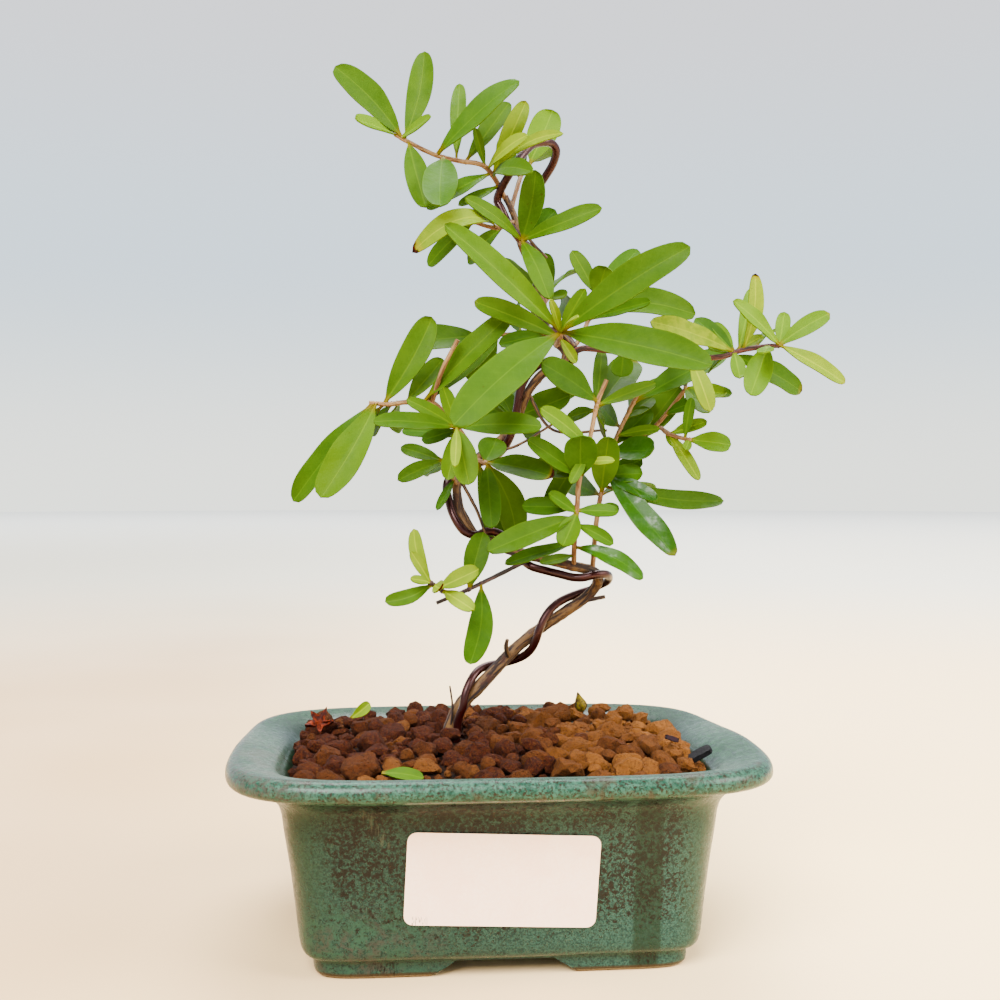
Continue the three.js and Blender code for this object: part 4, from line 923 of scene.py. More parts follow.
# Bright, light, middle, dark, grey, yellow and wet, each from its darker to its lighter shade.
LEAF_TONES = {
    "b": ((120, 148, 22), (142, 168, 34)), "l": ((148, 176, 32), (168, 194, 44)),
    "m": ((112, 144, 42), (130, 160, 52)), "d": ((114, 140, 54), (130, 156, 62)),
    "g": ((108, 136, 64), (126, 154, 72)), "y": ((172, 190, 14), (196, 212, 26)),
    "w": ((92, 128, 48), (112, 148, 56)),
}
# Tips that have begun to dry, with how much of the leaf is brown, and one that has turned yellow in patches.
DRY_TIPS = {
    (-17, -15, 158): 0.05, (61, -14, 153): 0.04, (15, -16, 107): 0.05, (74, -4, 127): 0.02, (43, -13, 89): 0.015,
    (-10, -24, 82): 0.06,
}
PATCHED = {(37, -16, 142): 1.0}


def leaf_layers(bm):
    layers = bm.verts.layers
    return {
        "tint": layers.float_color.new("leaf_tint"), "place": layers.float_vector.new("leaf_place"),
        "share": layers.float_vector.new("leaf_share"), "state": layers.float_vector.new("leaf_state"),
        "straight": layers.float_vector.new("straight"),
    }


def leaf_outline(share):
    """Half width of a blade along its length, as a share of its greatest."""
    if share <= LEAF_STALK:
        return 0.0
    if share < LEAF_WIDEST:
        return math.sin(math.pi / 2 * (share - LEAF_STALK) / LEAF_RISE) ** 0.8
    return max(1 - ((share - LEAF_WIDEST) / LEAF_FALL) ** 2.4, 0.0) ** 0.45


def grow_leaf(bm, layers, root, tip, flat_width, roll, arch, tone, rng, bow=0.0):
    """One leaf from its root on a stem to its tip, as a blade with a stalk. Bow is how far it swings to its left."""
    width = flat_width * LEAF_SPAN
    way = tip - root
    length = way.length
    way.normalize()
    face = (LEAF_FACE - way * LEAF_FACE.dot(way)).normalized()
    face = Quaternion(way, math.radians(roll)) @ face
    side = face.cross(way)
    size = min(1.0, length / 22)
    bow += rng.uniform(-0.012, 0.012) * length
    wave = rng.uniform(0.015, 0.05) * width * size
    wave *= 2.2 if tone == "w" else 1.0
    waves = rng.uniform(1.2, 2.6)
    phase = rng.uniform(0, 6.28)
    twist = rng.uniform(-0.28, 0.28) * size
    hook = rng.uniform(-0.5, 0.2) * size
    fold = BLADE_FOLD * rng.uniform(0.7, 1.7)
    pale, bright = (Vector(paint(*shade)) for shade in LEAF_TONES[tone])
    shade = pale.lerp(bright, rng.random())
    key = tuple(round(c) for c in tip)
    dry = DRY_TIPS.get(key, max(0.0, rng.uniform(-0.2, 0.02)))
    state = Vector((dry, 1.0 if tone == "w" else 0.0, PATCHED.get(key, 0.0)))
    columns, rows = SMALL_LEAF_GRID if length < SMALL_LEAF else LEAF_GRID
    grid = bmesh.ops.create_grid(bm, x_segments=columns, y_segments=rows, size=0.5)["verts"]
    faces = list(dict.fromkeys(polygon for vert in grid for polygon in vert.link_faces))
    for vert in grid:
        across, share = vert.co.x * 2, vert.co.y + 0.5
        share = 1 - (1 - share) ** 1.3
        outline = leaf_outline(share)
        half = max(STALK_THICK / 2 if share < 0.3 else 0.05, outline * width / 2)
        up = -fold * width * outline * (1 - abs(across) ** 1.3)
        up += wave * across * across * math.sin(2 * math.pi * waves * share + phase + (1.3 if across > 0 else 0.0))
        up += hook * max(share - 0.7, 0) ** 2 * length * 0.5
        turned = twist * share
        centre = root.lerp(tip, share) + face * (arch * length * 4 * share * (1 - share))
        centre = centre + side * (bow * math.sin(math.pi * share))
        reach = across * half
        vert.co = centre + side * (reach * math.cos(turned)) + face * (up + reach * math.sin(turned))
        vert[layers["tint"]] = shade
        vert[layers["place"]] = Vector((reach, share * length, 0))
        vert[layers["share"]] = Vector((across, share, 0))
        vert[layers["state"]] = state
    grown = bmesh.ops.extrude_face_region(bm, geom=faces, use_keep_orig=True)["geom"]
    upper = points_of(grown)
    for vert in upper:
        share = vert[layers["share"]].y
        vert.co += face * (LEAF_THICK if share > 0.12 else STALK_THICK - (STALK_THICK - LEAF_THICK) * share / 0.12)
        vert[layers["share"]] = Vector((vert[layers["share"]].x, share, 1))
    for vert in grid + upper:
        vert.co = plant_axes @ (vert.co - face * (LEAF_THICK / 2))
    for vert in grid + upper:
        for polygon in vert.link_faces:
            polygon.material_index = 1


def leaf_finish(name):
    """A waxy blade with a pale midrib and faint side veins. Each leaf brings its own tone and state."""
    finish, tree, shader = new_finish(name, 0.36)
    at = millimetres(tree)
    own = carried(tree, "leaf_tint", "Color")
    across_mm, along_mm, _ = split(tree, carried(tree, "leaf_place"))
    across, along, upper = split(tree, carried(tree, "leaf_share"))
    dry, wet, patched = split(tree, carried(tree, "leaf_state"))
    away = reckon(tree, "ABSOLUTE", across_mm)
    edge = reckon(tree, "ABSOLUTE", across)
    # Side veins leave the midrib at a slant and bend forward to the margin.
    lines = reckon(tree, "SINE", times(tree, reckon(tree, "SUBTRACT", along_mm, times(tree, away, 1.1)), 2.9))
    cloud = grain(tree, at, 0.22, 3.0)
    cells = grain(tree, at, 1.6, 4.0, 0.6)
    veins = times(tree, spread(tree, lines, 0.72, 1.0), spread(tree, edge, 0.95, 0.6))
    midrib = spread(tree, away, reckon(tree, "MULTIPLY_ADD", along, -0.18, 0.34), 0.06)
    shaded = tint(tree, 1.0, own, (0.62, 0.74, 0.6, 1.0), "MULTIPLY")
    coat = tint(tree, spread(tree, cloud, 0.35, 0.7, 0.0, 0.6), own, shaded)
    coat = tint(tree, spread(tree, cells, 0.45, 0.7, 0.0, 0.05), coat, paint(150, 184, 70))
    coat = tint(tree, times(tree, veins, 0.04), coat, paint(160, 192, 84))
    yellowed = times(tree, patched, spread(tree, grain(tree, at, 0.5, 3.0), 0.42, 0.58))
    coat = tint(tree, yellowed, coat, paint(190, 204, 70))
    coat = tint(tree, spread(tree, edge, 0.9, 1.0, 0.0, 0.2), coat, paint(160, 184, 80))
    paler = tint(tree, 1.0, own, (1.75, 1.5, 2.0, 1.0), "MULTIPLY")
    coat = tint(tree, times(tree, midrib, 0.6), coat, paler)
    coat = tint(tree, spread(tree, along, 0.14, 0.03, 0.0, 0.8), coat, paint(176, 158, 84))
    under = reckon(tree, "SUBTRACT", 1.0, upper)
    coat = tint(tree, times(tree, under, 0.35), coat, paint(136, 166, 84))
    # Drying creeps in from the tip, and spots the rest.
    creep = plus(tree, dry, spread(tree, cloud, 0.3, 0.7, -0.03, 0.03))
    withered = spread(tree, plus(tree, along, creep), 1.0, 1.03)
    rim = spread(tree, plus(tree, along, dry), 0.95, 1.0, 0.0, 0.35)
    coat = tint(tree, times(tree, rim, spread(tree, dry, 0.0, 0.03)), coat, paint(206, 178, 84))
    coat = tint(tree, times(tree, withered, spread(tree, dry, 0.0, 0.02)), coat,
                tint(tree, spread(tree, cells, 0.4, 0.6), paint(112, 66, 34), paint(66, 38, 24)))
    spots = times(tree, spread(tree, grain(tree, at, 0.9, 2.0), 0.73, 0.78), 0.5)
    coat = tint(tree, spots, coat, paint(112, 84, 44))
    gloss = spread(tree, cells, 0.3, 0.7, 0.46, 0.6)
    gloss = plus(tree, gloss, times(tree, under, 0.2))
    gloss = plus(tree, gloss, times(tree, withered, 0.25))
    gloss = reckon(tree, "MULTIPLY_ADD", wet, -0.16, gloss)
    film = spread(tree, grain(tree, at, 0.45, 4.0), 0.45, 0.65, 0.04, 0.4)
    tree.links.new(times(tree, wet, film), shader.inputs["Coat Weight"])
    shader.inputs["Coat Roughness"].default_value = 0.3
    shader.inputs["Specular IOR Level"].default_value = 0.05
    ribs = relief(tree, reckon(tree, "MULTIPLY_ADD", veins, 0.08, times(tree, midrib, -1.0)), 0.3, 0.14)
    feed(tree, shader, coat, gloss, relief(tree, cloud, 0.5, 0.5, ribs))
    return finish


leaf_skin = leaf_finish("leaf_blade")
young_bark = bark_finish("young_bark", paint(206, 178, 140), paint(166, 132, 96), paint(186, 162, 116), 1.3)
red_bark = bark_finish("reddish_bark", paint(150, 88, 52), paint(84, 44, 28), paint(126, 84, 48), 1.3)
dark_bark = bark_finish("dark_red_bark", paint(108, 58, 44), paint(62, 32, 26), paint(92, 54, 38), 1.3)
STEM_BARKS = {"branch_right": red_bark, "branch_low_left": dark_bark}
# Each branch of a shoot: its stem's points, its thickness at the root and at the end, and its leaves as share of
# the way along the stem, tip, flat width, roll, arch, tone and, for some, bow.
SHOOTS = {
    "spray_top_left": [
        {"stem": [(4.1, 2, 173.6), (1.5, 0, 178), (-1.3, -3, 180.3), (-6.5, -4, 181), (-12.3, -5, 182.2),
                  (-18.2, -6, 184.8), (-21.4, -6, 186.6)],
         "radii": (0.65, 0.5), "leaves": [
             (0.95, (-35, -11, 201), 8.2, 0, 0.06, "b", -0.8), (0.93, (-15, -3, 207), 7, 0, 0.05, "b", -1),
             (1, (-30, -15, 188), 5.2, 10, 0.05, "l"), (0.95, (-13, -13, 189), 4, 0, 0.04, "l"),
             (0.66, (7, -11, 198), 9, -10, 0.08, "m"), (0.52, (-7, 9, 203), 4.5, 0, 0.05, "b"),
             (0.45, (5, 3, 197), 5.5, 0, 0.05, "d"), (0.2, (9, -1, 196), 5.5, 0, 0.05, "y"),
             (0.3, (-3, -7, 188), 2.5, 0, 0.03, "d"), (0.26, (9, -12, 185), 4.5, 0, 0.1, "y"),
             (0.2, (17, -14, 185), 3.4, 0, 0.06, "y", 2), (0.18, (10, -19, 175), 5.5, 15, 0.12, "b"),
             (0.9, (-14, -14, 168), 6.5, 0, 0.06, "b"), (0.62, (-10.5, -21, 167), 9.5, 0, 0.06, "m"),
             (0.22, (-14, -9, 169), 5, 0, 0.05, "m"), (0.1, (-7, -3, 171), 3, 0, 0.04, "b"),
         ]},
    ],
    "spray_apex": [
        {"stem": [(5.4, 2.2, 170.5), (6.8, 7, 176.5), (8.4, 12, 182), (10.2, 14, 184.5)],
         "radii": (0.6, 0.5), "leaves": [
             (1, (16, 17, 199), 9, 0, 0.06, "l"), (1, (17, 24, 190), 7.5, -60, 0.08, "m"),
             (0.7, (3, 24, 194), 6.5, -40, 0.06, "m"), (0.9, (11, 30, 197), 6, -50, 0.08, "m"),
         ]},
    ],
    "spray_below_apex": [
        {"stem": [(6, 2, 168), (3.6, -4, 165.7), (0.8, -8, 164.7), (-3.1, -10, 165.5)],
         "radii": (0.6, 0.5), "leaves": [
             (0.6, (-17, -15, 158), 6, 0, 0.34, "y"), (1, (-14, -7, 156), 5.2, 0, 0.1, "b"),
             (0.35, (-5, 12, 160), 5, -30, 0.08, "m"),
         ]},
    ],
    "spray_upper_rosette": [
        {"stem": [(8, 2, 162.6), (7.9, -5, 162)],
         "radii": (0.65, 0.6), "leaves": [
             (1, (11, -12, 177), 7, 0, 0.05, "b", -0.8), (1, (26, -14, 168), 5.5, 0, 0.1, "b", -0.8),
             (1, (-5, -15, 170), 4.5, 0, 0.08, "b"), (0.8, (16, -2, 170), 6, 0, 0.05, "m"),
             (1, (14, -16, 147), 6, 0, 0.12, "b"),
         ]},
    ],
    "spray_rosette_back": [
        {"stem": [(13.3, 4, 148.4), (14.8, 10, 151.2)],
         "radii": (0.6, 0.5), "leaves": [
             (1, (14, 10, 162), 5, 0, 0.05, "b"), (1, (19, 5, 151), 4, 0, 0.05, "b"),
             (1, (3, 24, 162), 7, -50, 0.08, "m"), (1, (24, 30, 161), 6.5, -60, 0.08, "m"),
             (0.9, (14, 36, 161), 7, -70, 0.1, "m"),
         ]},
    ],
    "spray_central": [
        {"stem": [(16.4, 2, 138.4), (16.7, -7, 138.7), (16.6, -14, 139.5)],
         "radii": (0.75, 0.65), "leaves": [
             (1, (-9, -26, 162), 8, 0, 0.06, "b"), (1, (44, -27, 157), 9, 5, 0.08, "b"),
             (1, (48, -32, 131), 10, 10, 0.1, "b"), (1, (-7, -34, 118), 11, 0, 0.08, "b"),
             (0.7, (-3, -12, 147), 6, 0, 0.08, "b"), (1, (22, -18, 149), 4, 0, 0.06, "b"),
             (1, (14, -22, 146), 2.5, 0, 0.05, "y"), (1, (20, -24, 142), 2.5, 0, 0.05, "y"),
             (0.7, (20.5, -10, 133), 3, 0, 0.05, "y"),
         ]},
    ],
    "spray_behind_centre": [
        {"stem": [(18.5, 1, 135.6), (22.6, 9, 141), (25.4, 14, 147.3), (27.1, 16, 152.3)],
         "radii": (0.6, 0.5), "leaves": [
             (1, (21, 18, 164), 5, 0, 0.05, "b"), (1, (29, 12, 159), 7.5, 0, 0.05, "b"),
             (1, (38, 22, 165), 6.5, 0, 0.05, "m"), (0.8, (51, 10, 147), 8.5, 0, 0.1, "d", 2),
             (0.7, (39, 2, 149), 4, 0, 0.05, "m"), (1, (40, 38, 157), 7.5, -60, 0.08, "m"),
             (0.7, (19, 40, 155), 7.5, -60, 0.08, "m"),
         ]},
    ],
    "branch_right": [
        {"stem": [(18.4, 0, 135), (21.9, -3, 137), (26.5, -5, 136.6), (37.9, -8, 134.9), (49.2, -10, 134.2),
                  (55, -11, 134.6), (57.1, -11, 135.5), (63.6, -12, 136.6), (66.8, -12, 136.8)],
         "radii": (0.8, 0.55), "leaves": [
             (0.8, (37, -16, 142), 6, 0, 0.06, "y"), (0.8, (53, -5, 143), 3.5, 0, 0.05, "l"),
             (0.8, (51, -9, 137), 2.5, 0, 0.06, "l"), (0.8, (64, -8, 139.5), 3, 0, 0.05, "y"),
             (0.82, (62, -5, 151), 4, 0, 0.05, "l"), (0.84, (61, -14, 153), 4.5, 30, 0.05, "y", -1.2),
             (1, (55, -20, 146), 5, 0, 0.06, "l"), (1, (69, -8, 145), 4, 0, 0.05, "l"),
             (1, (78, -14, 144), 5, 0, 0.08, "l"), (1, (81, -16, 128), 5, 0, 0.1, "y"),
             (0.95, (61, -24, 134), 4.5, 20, 0, "l"), (0.95, (59, -19, 125), 7, 0, 0.1, "l"),
             (0.8, (57, -17, 129), 4, 0, 0.05, "l"), (0.78, (74, -4, 127), 6.5, 0, 0.08, "m"),
             (0.76, (52.5, -2, 132), 4.5, 0, 0.05, "d"), (0.6, (50.9, -14, 121.7), 5, 0, 0.06, "y"),
             (0.5, (45, 14, 142), 7, -50, 0.08, "m"), (0.9, (74, 10, 143), 5, -50, 0.08, "m"),
             (0.3, (31, -8, 130), 6, 0, 0.08, "m"), (0.8, (48.9, -4, 144.2), 5, 0, 0.05, "m"),
         ]},
    ],
    "spray_left": [
        {"stem": [(-3.4, 7, 111), (-4.4, 5, 114), (-6.7, 3, 117.6), (-10, 0, 121.3), (-13.2, -3, 124.3),
                  (-18.2, -5, 124.4), (-23.3, -6, 123.8), (-27.7, -7, 124)],
         "radii": (0.8, 0.55), "leaves": [
             (0.62, (6, -9, 145), 7, 0, 0.08, "b"), (0.6, (2, 3, 141), 6.5, 0, 0.06, "d"),
             (0.9, (-13, -7, 144), 8, 0, 0.06, "b", -1), (0.75, (-11, 1, 135), 6, 0, 0.06, "b"),
             (0.95, (-38, -15, 102), 9.5, 0, 0.1, "b", 1), (0.97, (-46, -4, 101), 7, 0, 0.14, "m", 1),
             (0.85, (-28, 4, 117), 4, 0, 0.05, "d"), (0.8, (-22, 18, 119), 6.5, -50, 0.08, "m"),
             (0.9, (-37, 16, 114), 6, -50, 0.08, "m"),
         ]},
        {"stem": [(-13.2, -3, 124.3), (-10.6, -8, 131.5), (-6.9, -10, 138.4)],
         "radii": (0.6, 0.5), "leaves": [
         ]},
    ],
    "spray_left_front": [
        {"stem": [(-3.6, 6.5, 110.4), (-5.6, -4, 113.1), (-6.7, -12, 116.1), (-7, -16, 117.8)],
         "radii": (0.65, 0.5), "leaves": [
             (1, (-25, -24, 119), 5, 0, 0.1, "b"), (1, (-18, -20, 124), 4, 0, 0.06, "b"),
             (1, (-10, -17, 127), 4, 0, 0.05, "b"), (1, (12, -23, 118), 6.5, 0, 0.08, "b"),
             (1, (-7, -27, 109), 2.8, 0, 0.05, "y"), (1, (-4, -23, 105), 7, 0, 0.08, "b"),
             (0.95, (-9, -18, 106), 5, 0, 0.06, "b"), (0.95, (-15, -14, 115), 4, 0, 0.05, "m"),
             (0.8, (-20, -7, 117.5), 4, 0, 0.05, "m"),
         ]},
    ],
    "spray_low_left": [
        {"stem": [(-7.6, 5, 104.6), (-9.2, -1, 108.2), (-10.5, -3, 110.5)],
         "radii": (0.6, 0.5), "leaves": [
             (1, (-21, 3, 114), 4.2, 0, 0.05, "d"), (1, (-21, -8, 106), 4.6, 0, 0.1, "d"),
             (0.3, (-12, -5, 99), 2.5, 0, 0.05, "m"), (0.8, (-16, 22, 109), 6, -50, 0.08, "m"),
         ]},
    ],
    "spray_dark_left": [
        {"stem": [(-2.9, 7, 111), (-1.1, -1, 110.3), (-0.3, -6, 110)],
         "radii": (0.6, 0.5), "leaves": [
             (1, (1, -13, 95), 6, 0, 0.06, "g"), (1, (15, -16, 107), 7, 0, 0.08, "d"),
             (0.8, (2, 1, 116), 8, 0, 0.05, "g"), (0.15, (3.5, 9, 88), 6.5, 0, 0.05, "d"),
             (1, (7, -2, 92), 8.5, 0, 0.04, "d", 1.5),
         ]},
    ],
    "spray_centre_dark": [
        {"stem": [(3.9, 5, 116.8), (5.9, 10, 119.9), (6.4, 12, 121.5)],
         "radii": (0.6, 0.5), "leaves": [
             (1, (20, 7, 127), 8, 0, 0.08, "d"), (1, (3, 16, 128), 6, 0, 0.06, "d"),
             (1, (13, 18, 116), 6.5, 0, 0.06, "d"), (1, (22.5, 14, 129), 5, 0, 0.06, "m"),
             (1, (-5, 24, 127), 7.5, -50, 0.08, "m"), (1, (8, 32, 133), 7, -60, 0.08, "m"),
         ]},
    ],
    "spray_back_left": [
        {"stem": [(15, 3, 141), (10.4, 12, 142.3), (2.9, 18, 142.8), (-2.7, 20, 142.7)],
         "radii": (0.6, 0.5), "leaves": [
             (0.1, (2.5, 8, 139.5), 5, 0, 0.05, "m"), (1, (-20, 18, 141.5), 9.5, 0, 0.05, "d"),
             (0.8, (-5, 28, 132), 7, -50, 0.08, "m"), (1, (-2, 32, 144), 7, -60, 0.08, "m"),
             (0.5, (8, 34, 154), 7, -60, 0.08, "m"),
         ]},
    ],
    "shoot_upright_left": [
        {"stem": [(20.3, -3, 85.6), (20.2, -8, 91.4), (20.7, -10, 99.5), (21.1, -11, 106), (22.7, -12, 111.8),
                  (23.6, -12, 115.9), (25.2, -12, 123.7), (27.3, -12, 129)],
         "radii": (0.65, 0.5), "leaves": [
             (0.32, (17, -16, 91), 6, 0, 0.06, "b"), (0.32, (14, -14, 103), 4, 0, 0.05, "m"),
             (0.3, (0, -19, 90), 7, 0, 0.08, "d"), (0.16, (4, -15, 87), 4, 10, 0.05, "m"),
             (0.08, (12, -13, 87), 3, 0, 0.03, "d"), (0.5, (21, -19, 116), 9, 0, 0.04, "m"),
             (0.5, (9, -18, 115), 6, 0, 0.06, "g"), (0.66, (12, -20, 122), 5, 0, 0.06, "l"),
             (0.35, (8, -8, 100), 5.4, 0, 0.05, "m"), (0.88, (12, -22, 132), 8, 0, 0.06, "g"),
             (0.68, (13.5, -4, 98.5), 5.5, 0, 0.05, "m"), (0.86, (39, -8, 128.5), 4, 0, 0.06, "b"),
             (0.84, (18.5, -4, 120.5), 4.5, 0, 0.05, "d"), (0.84, (27, -2, 137), 4, 0, 0.04, "d"),
             (0.5, (11, -4, 110), 7, 0, 0.05, "d"), (0.14, (35.8, -12, 83.5), 5, 0, 0.1, "w", 1),
             (0.26, (29.2, -9, 91.2), 4, 0, 0.08, "m"), (0.33, (30, -13, 98.8), 4, 0, 0.05, "m"),
             (0.62, (18.9, -15, 105.2), 3, 0, 0.05, "b"), (0.58, (29, -14, 110.5), 2.5, 0, 0.04, "y"),
             (0.84, (36, 8, 136), 9, 0, 0.05, "d"), (0.84, (28, 0, 116.5), 6.5, 0, 0.05, "d"),
         ]},
    ],
    "shoot_upright_right": [
        {"stem": [(24.9, -1.3, 84.8), (25.2, -3, 91.1), (25.9, -3, 97.8), (26.9, -2, 103), (28.3, 0, 108.4),
                  (30.8, 2, 116.2), (36, 3, 126.6)],
         "radii": (0.65, 0.5), "leaves": [
             (0.34, (31, -4, 99), 3.2, 0, 0.05, "m"), (0.46, (57, 4, 101), 6, 0, 0.02, "d", -1.5),
             (0.54, (43, -13, 89), 7, 0, 0.1, "w", -1.2), (0.42, (28, -10, 116), 7.5, 0, 0.06, "b"),
             (0.66, (39, -6, 113.5), 8, 0, 0.05, "w"), (0.52, (36.5, -4, 107.5), 6, 0, 0.05, "m"),
             (0.95, (59, 12, 138), 7.5, 0, 0.06, "m"), (0.5, (37, 2, 111), 5, 0, 0.05, "m"),
             (0.5, (39.5, -8, 101.5), 4.5, 0, 0.08, "w"), (0.7, (39.5, 6, 123.5), 6.5, 0, 0.06, "g"),
             (0.8, (28, 20, 126), 7, -50, 0.08, "m"), (0.4, (42, 22, 103), 7, -50, 0.08, "m"),
             (0.4, (21, 22, 106), 7, -50, 0.08, "m"), (0.9, (45, 30, 132), 7, -50, 0.08, "m"),
             (0.85, (40.5, 10, 126.5), 5.2, 0, 0.05, "d"), (0.75, (41, 0, 118.3), 3, 0, 0.05, "l"),
         ]},
    ],
    "shoot_right_inner": [
        {"stem": [(30.4, 5, 110.4), (34.8, 8, 114.2), (41.2, 8, 119.6), (47.9, 5, 128.2)],
         "radii": (0.6, 0.5), "leaves": [
             (1, (52, -5, 122), 6, 0, 0.06, "b"), (0.3, (47.5, 13, 129.5), 8.7, 0, 0.06, "b"),
             (0.7, (50, 0, 125), 4, 0, 0.05, "m"), (1, (59, 4, 127), 4, 0, 0.05, "g"),
             (1, (57.3, 2, 127), 4.6, 0, 0.06, "l"), (1, (52, 22, 137), 6.5, -40, 0.08, "m"),
         ]},
    ],
    "shoot_small_right": [
        {"stem": [(41.7, 4, 118.7), (43.5, -2, 116.7), (47.4, -5, 115.4)],
         "radii": (0.55, 0.5), "leaves": [
             (0.5, (52, -2, 120), 3.5, 0, 0.05, "l"), (1, (57, -6, 114.3), 6, 0, 0.06, "l"),
             (1, (46, -8, 113), 2.5, 0, 0.05, "l"), (0.45, (49, -9, 106), 4, 0, 0.08, "y"),
             (0.3, (45, -1, 114), 3, 0, 0.05, "l"), (0.9, (48, -4, 125.5), 3, 0, 0.05, "m"),
         ]},
    ],
    "branch_low_left": [
        {"stem": [(10.5, -3, 87.6), (2.9, -9, 84.2), (-5.1, -13, 80.6), (-11.6, -15, 78)],
         "radii": (0.55, 0.45), "leaves": [
             (0.7, (-1, -11, 94), 6.5, 0, 0.06, "d"), (0.58, (-4, -15, 64), 6.8, 0, 0.06, "m", 1.1),
         ]},
        {"stem": [(-8.5, -14, 79.5), (-10.7, -16, 81.1), (-12.8, -18, 82.8)],
         "radii": (0.5, 0.45), "leaves": [
             (1, (-16.6, -18, 95), 4, 0, 0.05, "y", 1), (1, (-17, -21, 90), 3, 0, 0.05, "y"),
             (0.6, (-2, -19, 86), 5, 0, 0.06, "y"), (0.4, (-3, -21, 77), 4.5, 0, 0.08, "y"),
             (0.8, (-10.2, -24, 82.3), 4, 20, 0, "y"), (0.9, (-23, -19, 78.7), 4.2, 0, 0.06, "b", 0.9),
             (1, (-17, -22, 84), 2.5, 0, 0.05, "y"),
         ]},
    ],
}
for number, (name, branches) in enumerate(SHOOTS.items()):
    rng = random.Random(FIRST_SEED + number)
    bm = bmesh.new()
    layers = leaf_layers(bm)
    for branch in branches:
        last = len(branch["stem"]) - 1
        root_girth, end_girth = branch["radii"]

        def stem_girth(at, far, turn):
            ridge = STEM_RIDGE * noise.noise(Vector((math.cos(turn), math.sin(turn), far * 0.5)))
            return root_girth + (end_girth - root_girth) * at / last + ridge

        grow_limb(bm, branch["stem"], STEM_STEP, STEM_SIDES, stem_girth, layers["straight"])
        stops = even_path([Vector(point) for point in branch["stem"]], SPUR_STEP)
        for share, tip, width, roll, arch, tone, *bow in branch["leaves"]:
            root = stops[round(share * (len(stops) - 1))][0]
            grow_leaf(bm, layers, root, Vector(tip), width, roll, arch, tone, rng, *bow)
            # A small swollen bud at the foot of the leaf.
            bud = bmesh.ops.create_icosphere(bm, subdivisions=1, radius=rng.uniform(*SPUR_GIRTHS))["verts"]
            for vert in bud:
                vert[layers["straight"]] = vert.co
                vert.co = plant_axes @ (root + vert.co)
    stem_bark = STEM_BARKS.get(name, young_bark)
    shoot = make_piece(name + "_leaves", bm, [stem_bark, leaf_skin], 60.0)
    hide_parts(name)
    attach(shoot, "root")

# ---------------------------------------------------------------------------------------- what lies on the soil
# A dried flower calyx, two fallen leaves, a dry bud and two chips of charred wood, all loose on the granules.


def fallen_leaf(name, root, tip, width, roll, arch, tone, seed):
    bm = bmesh.new()
    layers = leaf_layers(bm)
    grow_leaf(bm, layers, Vector(root), Vector(tip), width, roll, arch, tone, random.Random(seed))
    piece = make_piece(name + "_blade", bm, [young_bark, leaf_skin], 60.0)
    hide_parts(name)
    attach(piece, "root")
    return piece


front_leaf = fallen_leaf("fallen_leaf_front", (-22.4, -33.5, 43.2), (-13.4, -34.5, 42.4), 3.6, -20, 0.1, "b", 5)
left_leaf = fallen_leaf("fallen_leaf_left", (-35.5, 21, 45.2), (-30.8, 24, 48.6), 3.4, 30, 0.2, "y", 6)


def dry_finish(name, pale, dark, roughness):
    """Something dried out, with fibres between two tones."""
    finish, tree, shader = new_finish(name, roughness)
    at = millimetres(tree)
    fibre = grain(tree, at, 1.1, 4.0, 0.6, 0.4)
    coat = tint(tree, spread(tree, fibre, 0.38, 0.62), dark, pale)
    dull = spread(tree, fibre, 0.3, 0.7, roughness - 0.1, roughness + 0.1)
    feed(tree, shader, coat, dull, relief(tree, fibre, 0.6, 0.25))
    shader.inputs["Specular IOR Level"].default_value = 0.15
    return finish


def laid(turn_x, turn_y, place):
    """The axes of something that lies at a place, turned in degrees about its own X and then about Y."""
    axes = plant_axes @ Matrix.Translation(place) @ Matrix.Rotation(math.radians(turn_y), 4, "Y")
    return axes @ Matrix.Rotation(math.radians(turn_x), 4, "X")


# The calyx: five thick pointed lobes around a dished middle.
CALYX_REACH = 3.6
CALYX_WAIST = 1.5
CALYX_LOBES = 5
CALYX_THICK = 1.0
bm = bmesh.new()
star = bmesh.ops.create_circle(bm, cap_ends=True, segments=40, radius=1.0)["verts"]
for vert in star:
    turn = math.atan2(vert.co.y, vert.co.x)
    lobe = abs(((turn / (2 * math.pi) * CALYX_LOBES) % 1.0) - 0.5) * 2
    reach = CALYX_WAIST + (CALYX_REACH - CALYX_WAIST) * lobe ** 2.0 * (1 + 0.25 * math.sin(2.3 * turn))
    vert.co = Vector((reach * math.cos(turn), reach * math.sin(turn), 0))
bmesh.ops.inset_individual(bm, faces=bm.faces[:], thickness=0.55, depth=0.0)
bmesh.ops.poke(bm, faces=[polygon for polygon in bm.faces if len(polygon.verts) > 20])
grown = bmesh.ops.extrude_face_region(bm, geom=bm.faces[:], use_keep_orig=True)["geom"]
bmesh.ops.translate(bm, verts=points_of(grown), vec=(0, 0, CALYX_THICK))
for vert in bm.verts:
    reach = math.hypot(vert.co.x, vert.co.y)
    vert.co.z += 0.15 * reach * reach - 0.35 + 1.1 * noise.noise(vert.co * 0.65)
bmesh.ops.transform(bm, matrix=laid(55, 10, (-42, 11.5, 45.8)), verts=bm.verts)
calyx_skin = dry_finish("dry_calyx_skin", paint(176, 104, 68), paint(100, 52, 34), 0.75)
calyx = make_piece("dry_calyx_star", bm, [calyx_skin])
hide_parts("dry_calyx")
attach(calyx, "root")
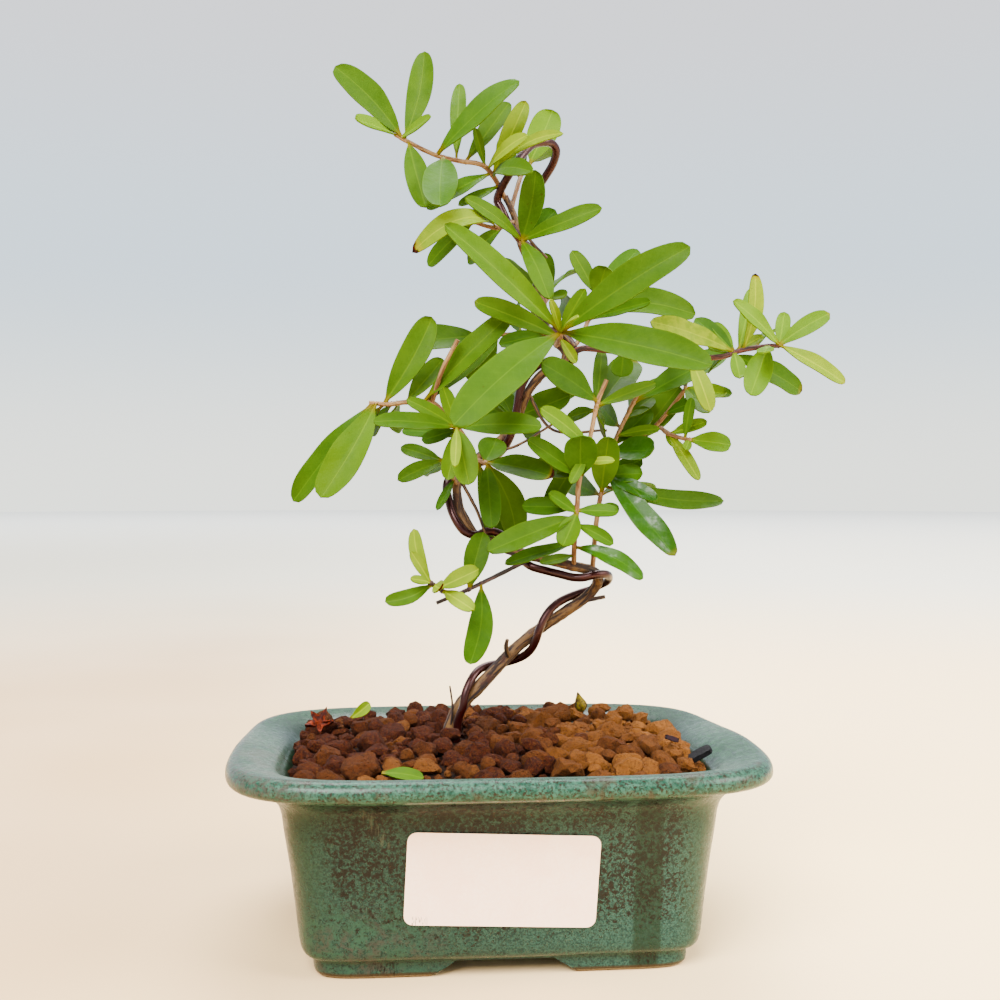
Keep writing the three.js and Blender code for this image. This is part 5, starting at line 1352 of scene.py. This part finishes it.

# The bud: a ribbed dry husk, turned up from its outline.
BUD_OUTLINE = [(0.15, 0.02), (0.9, 0.3), (1.3, 0.8), (1.55, 1.6), (1.45, 2.4), (1.1, 3.2), (0.75, 3.9), (0.45, 4.6),
               (0.1, 5.3)]
BUD_RIBS = 6
RIB_HEIGHT = 0.09
bm = bmesh.new()
outline = [bm.verts.new((reach, 0, height)) for reach, height in BUD_OUTLINE]
edges = [bm.edges.new(pair) for pair in zip(outline, outline[1:])]
bmesh.ops.spin(bm, geom=outline + edges, angle=2 * math.pi, steps=20, axis=(0, 0, 1), cent=(0, 0, 0), use_merge=True)
bmesh.ops.holes_fill(bm, edges=[edge for edge in bm.edges if edge.is_boundary])
for vert in bm.verts:
    rib = 1 + RIB_HEIGHT * math.cos(BUD_RIBS * math.atan2(vert.co.y, vert.co.x) + vert.co.z * 0.5)
    vert.co.x *= rib
    vert.co.y *= rib
bmesh.ops.transform(bm, matrix=laid(8, -14, (24, 22.4, 46.7)), verts=bm.verts)
bud_skin = dry_finish("dry_bud_skin", paint(176, 162, 76), paint(104, 84, 42), 0.7)
bud = make_piece("dry_bud_husk", bm, [bud_skin], 60.0)
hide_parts("dry_bud")
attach(bud, "root")


def wood_chip(name, size, turn_x, turn_y, place, pale, dark, seed):
    """A charred splinter, worn round at its ends."""
    bm = bmesh.new()
    bmesh.ops.create_cube(bm, size=1.0)
    bmesh.ops.subdivide_edges(bm, edges=bm.edges[:], cuts=6, use_grid_fill=True)
    for vert in bm.verts:
        splinter = noise.noise(Vector((seed, vert.co.y * 9, vert.co.z * 6)))
        vert.co.x *= 1 - 0.22 * abs(splinter) - 0.3 * (abs(vert.co.y) * 2) ** 4 * 0.5
        vert.co.y *= 1 - 0.3 * (abs(vert.co.x) * 2) ** 5
        vert.co.z *= 1 - 0.35 * (abs(vert.co.x) * 2) ** 4
        vert.co += Vector((0, 0, 0.14 * noise.noise(vert.co * 3 + Vector((seed, 0, 0)))))
        vert.co = Vector((vert.co.x * size[0], vert.co.y * size[1], vert.co.z * size[2]))
    bmesh.ops.transform(bm, matrix=laid(turn_x, turn_y, place), verts=bm.verts)
    chip = make_piece(name + "_splinter", bm, [dry_finish(name + "_char", pale, dark, 0.72)], 35.0)
    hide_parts(name)
    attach(chip, "root")


wood_chip("wood_chip_right", (5.6, 2.6, 1.2), 20, -28, (47.8, -19.7, 44.6), paint(66, 64, 68), paint(24, 24, 28), 3)
wood_chip("wood_chip_left", (3.4, 1.8, 1.0), -15, 18, (42.6, -10.6, 46.2), paint(96, 62, 76), paint(48, 28, 38), 8)
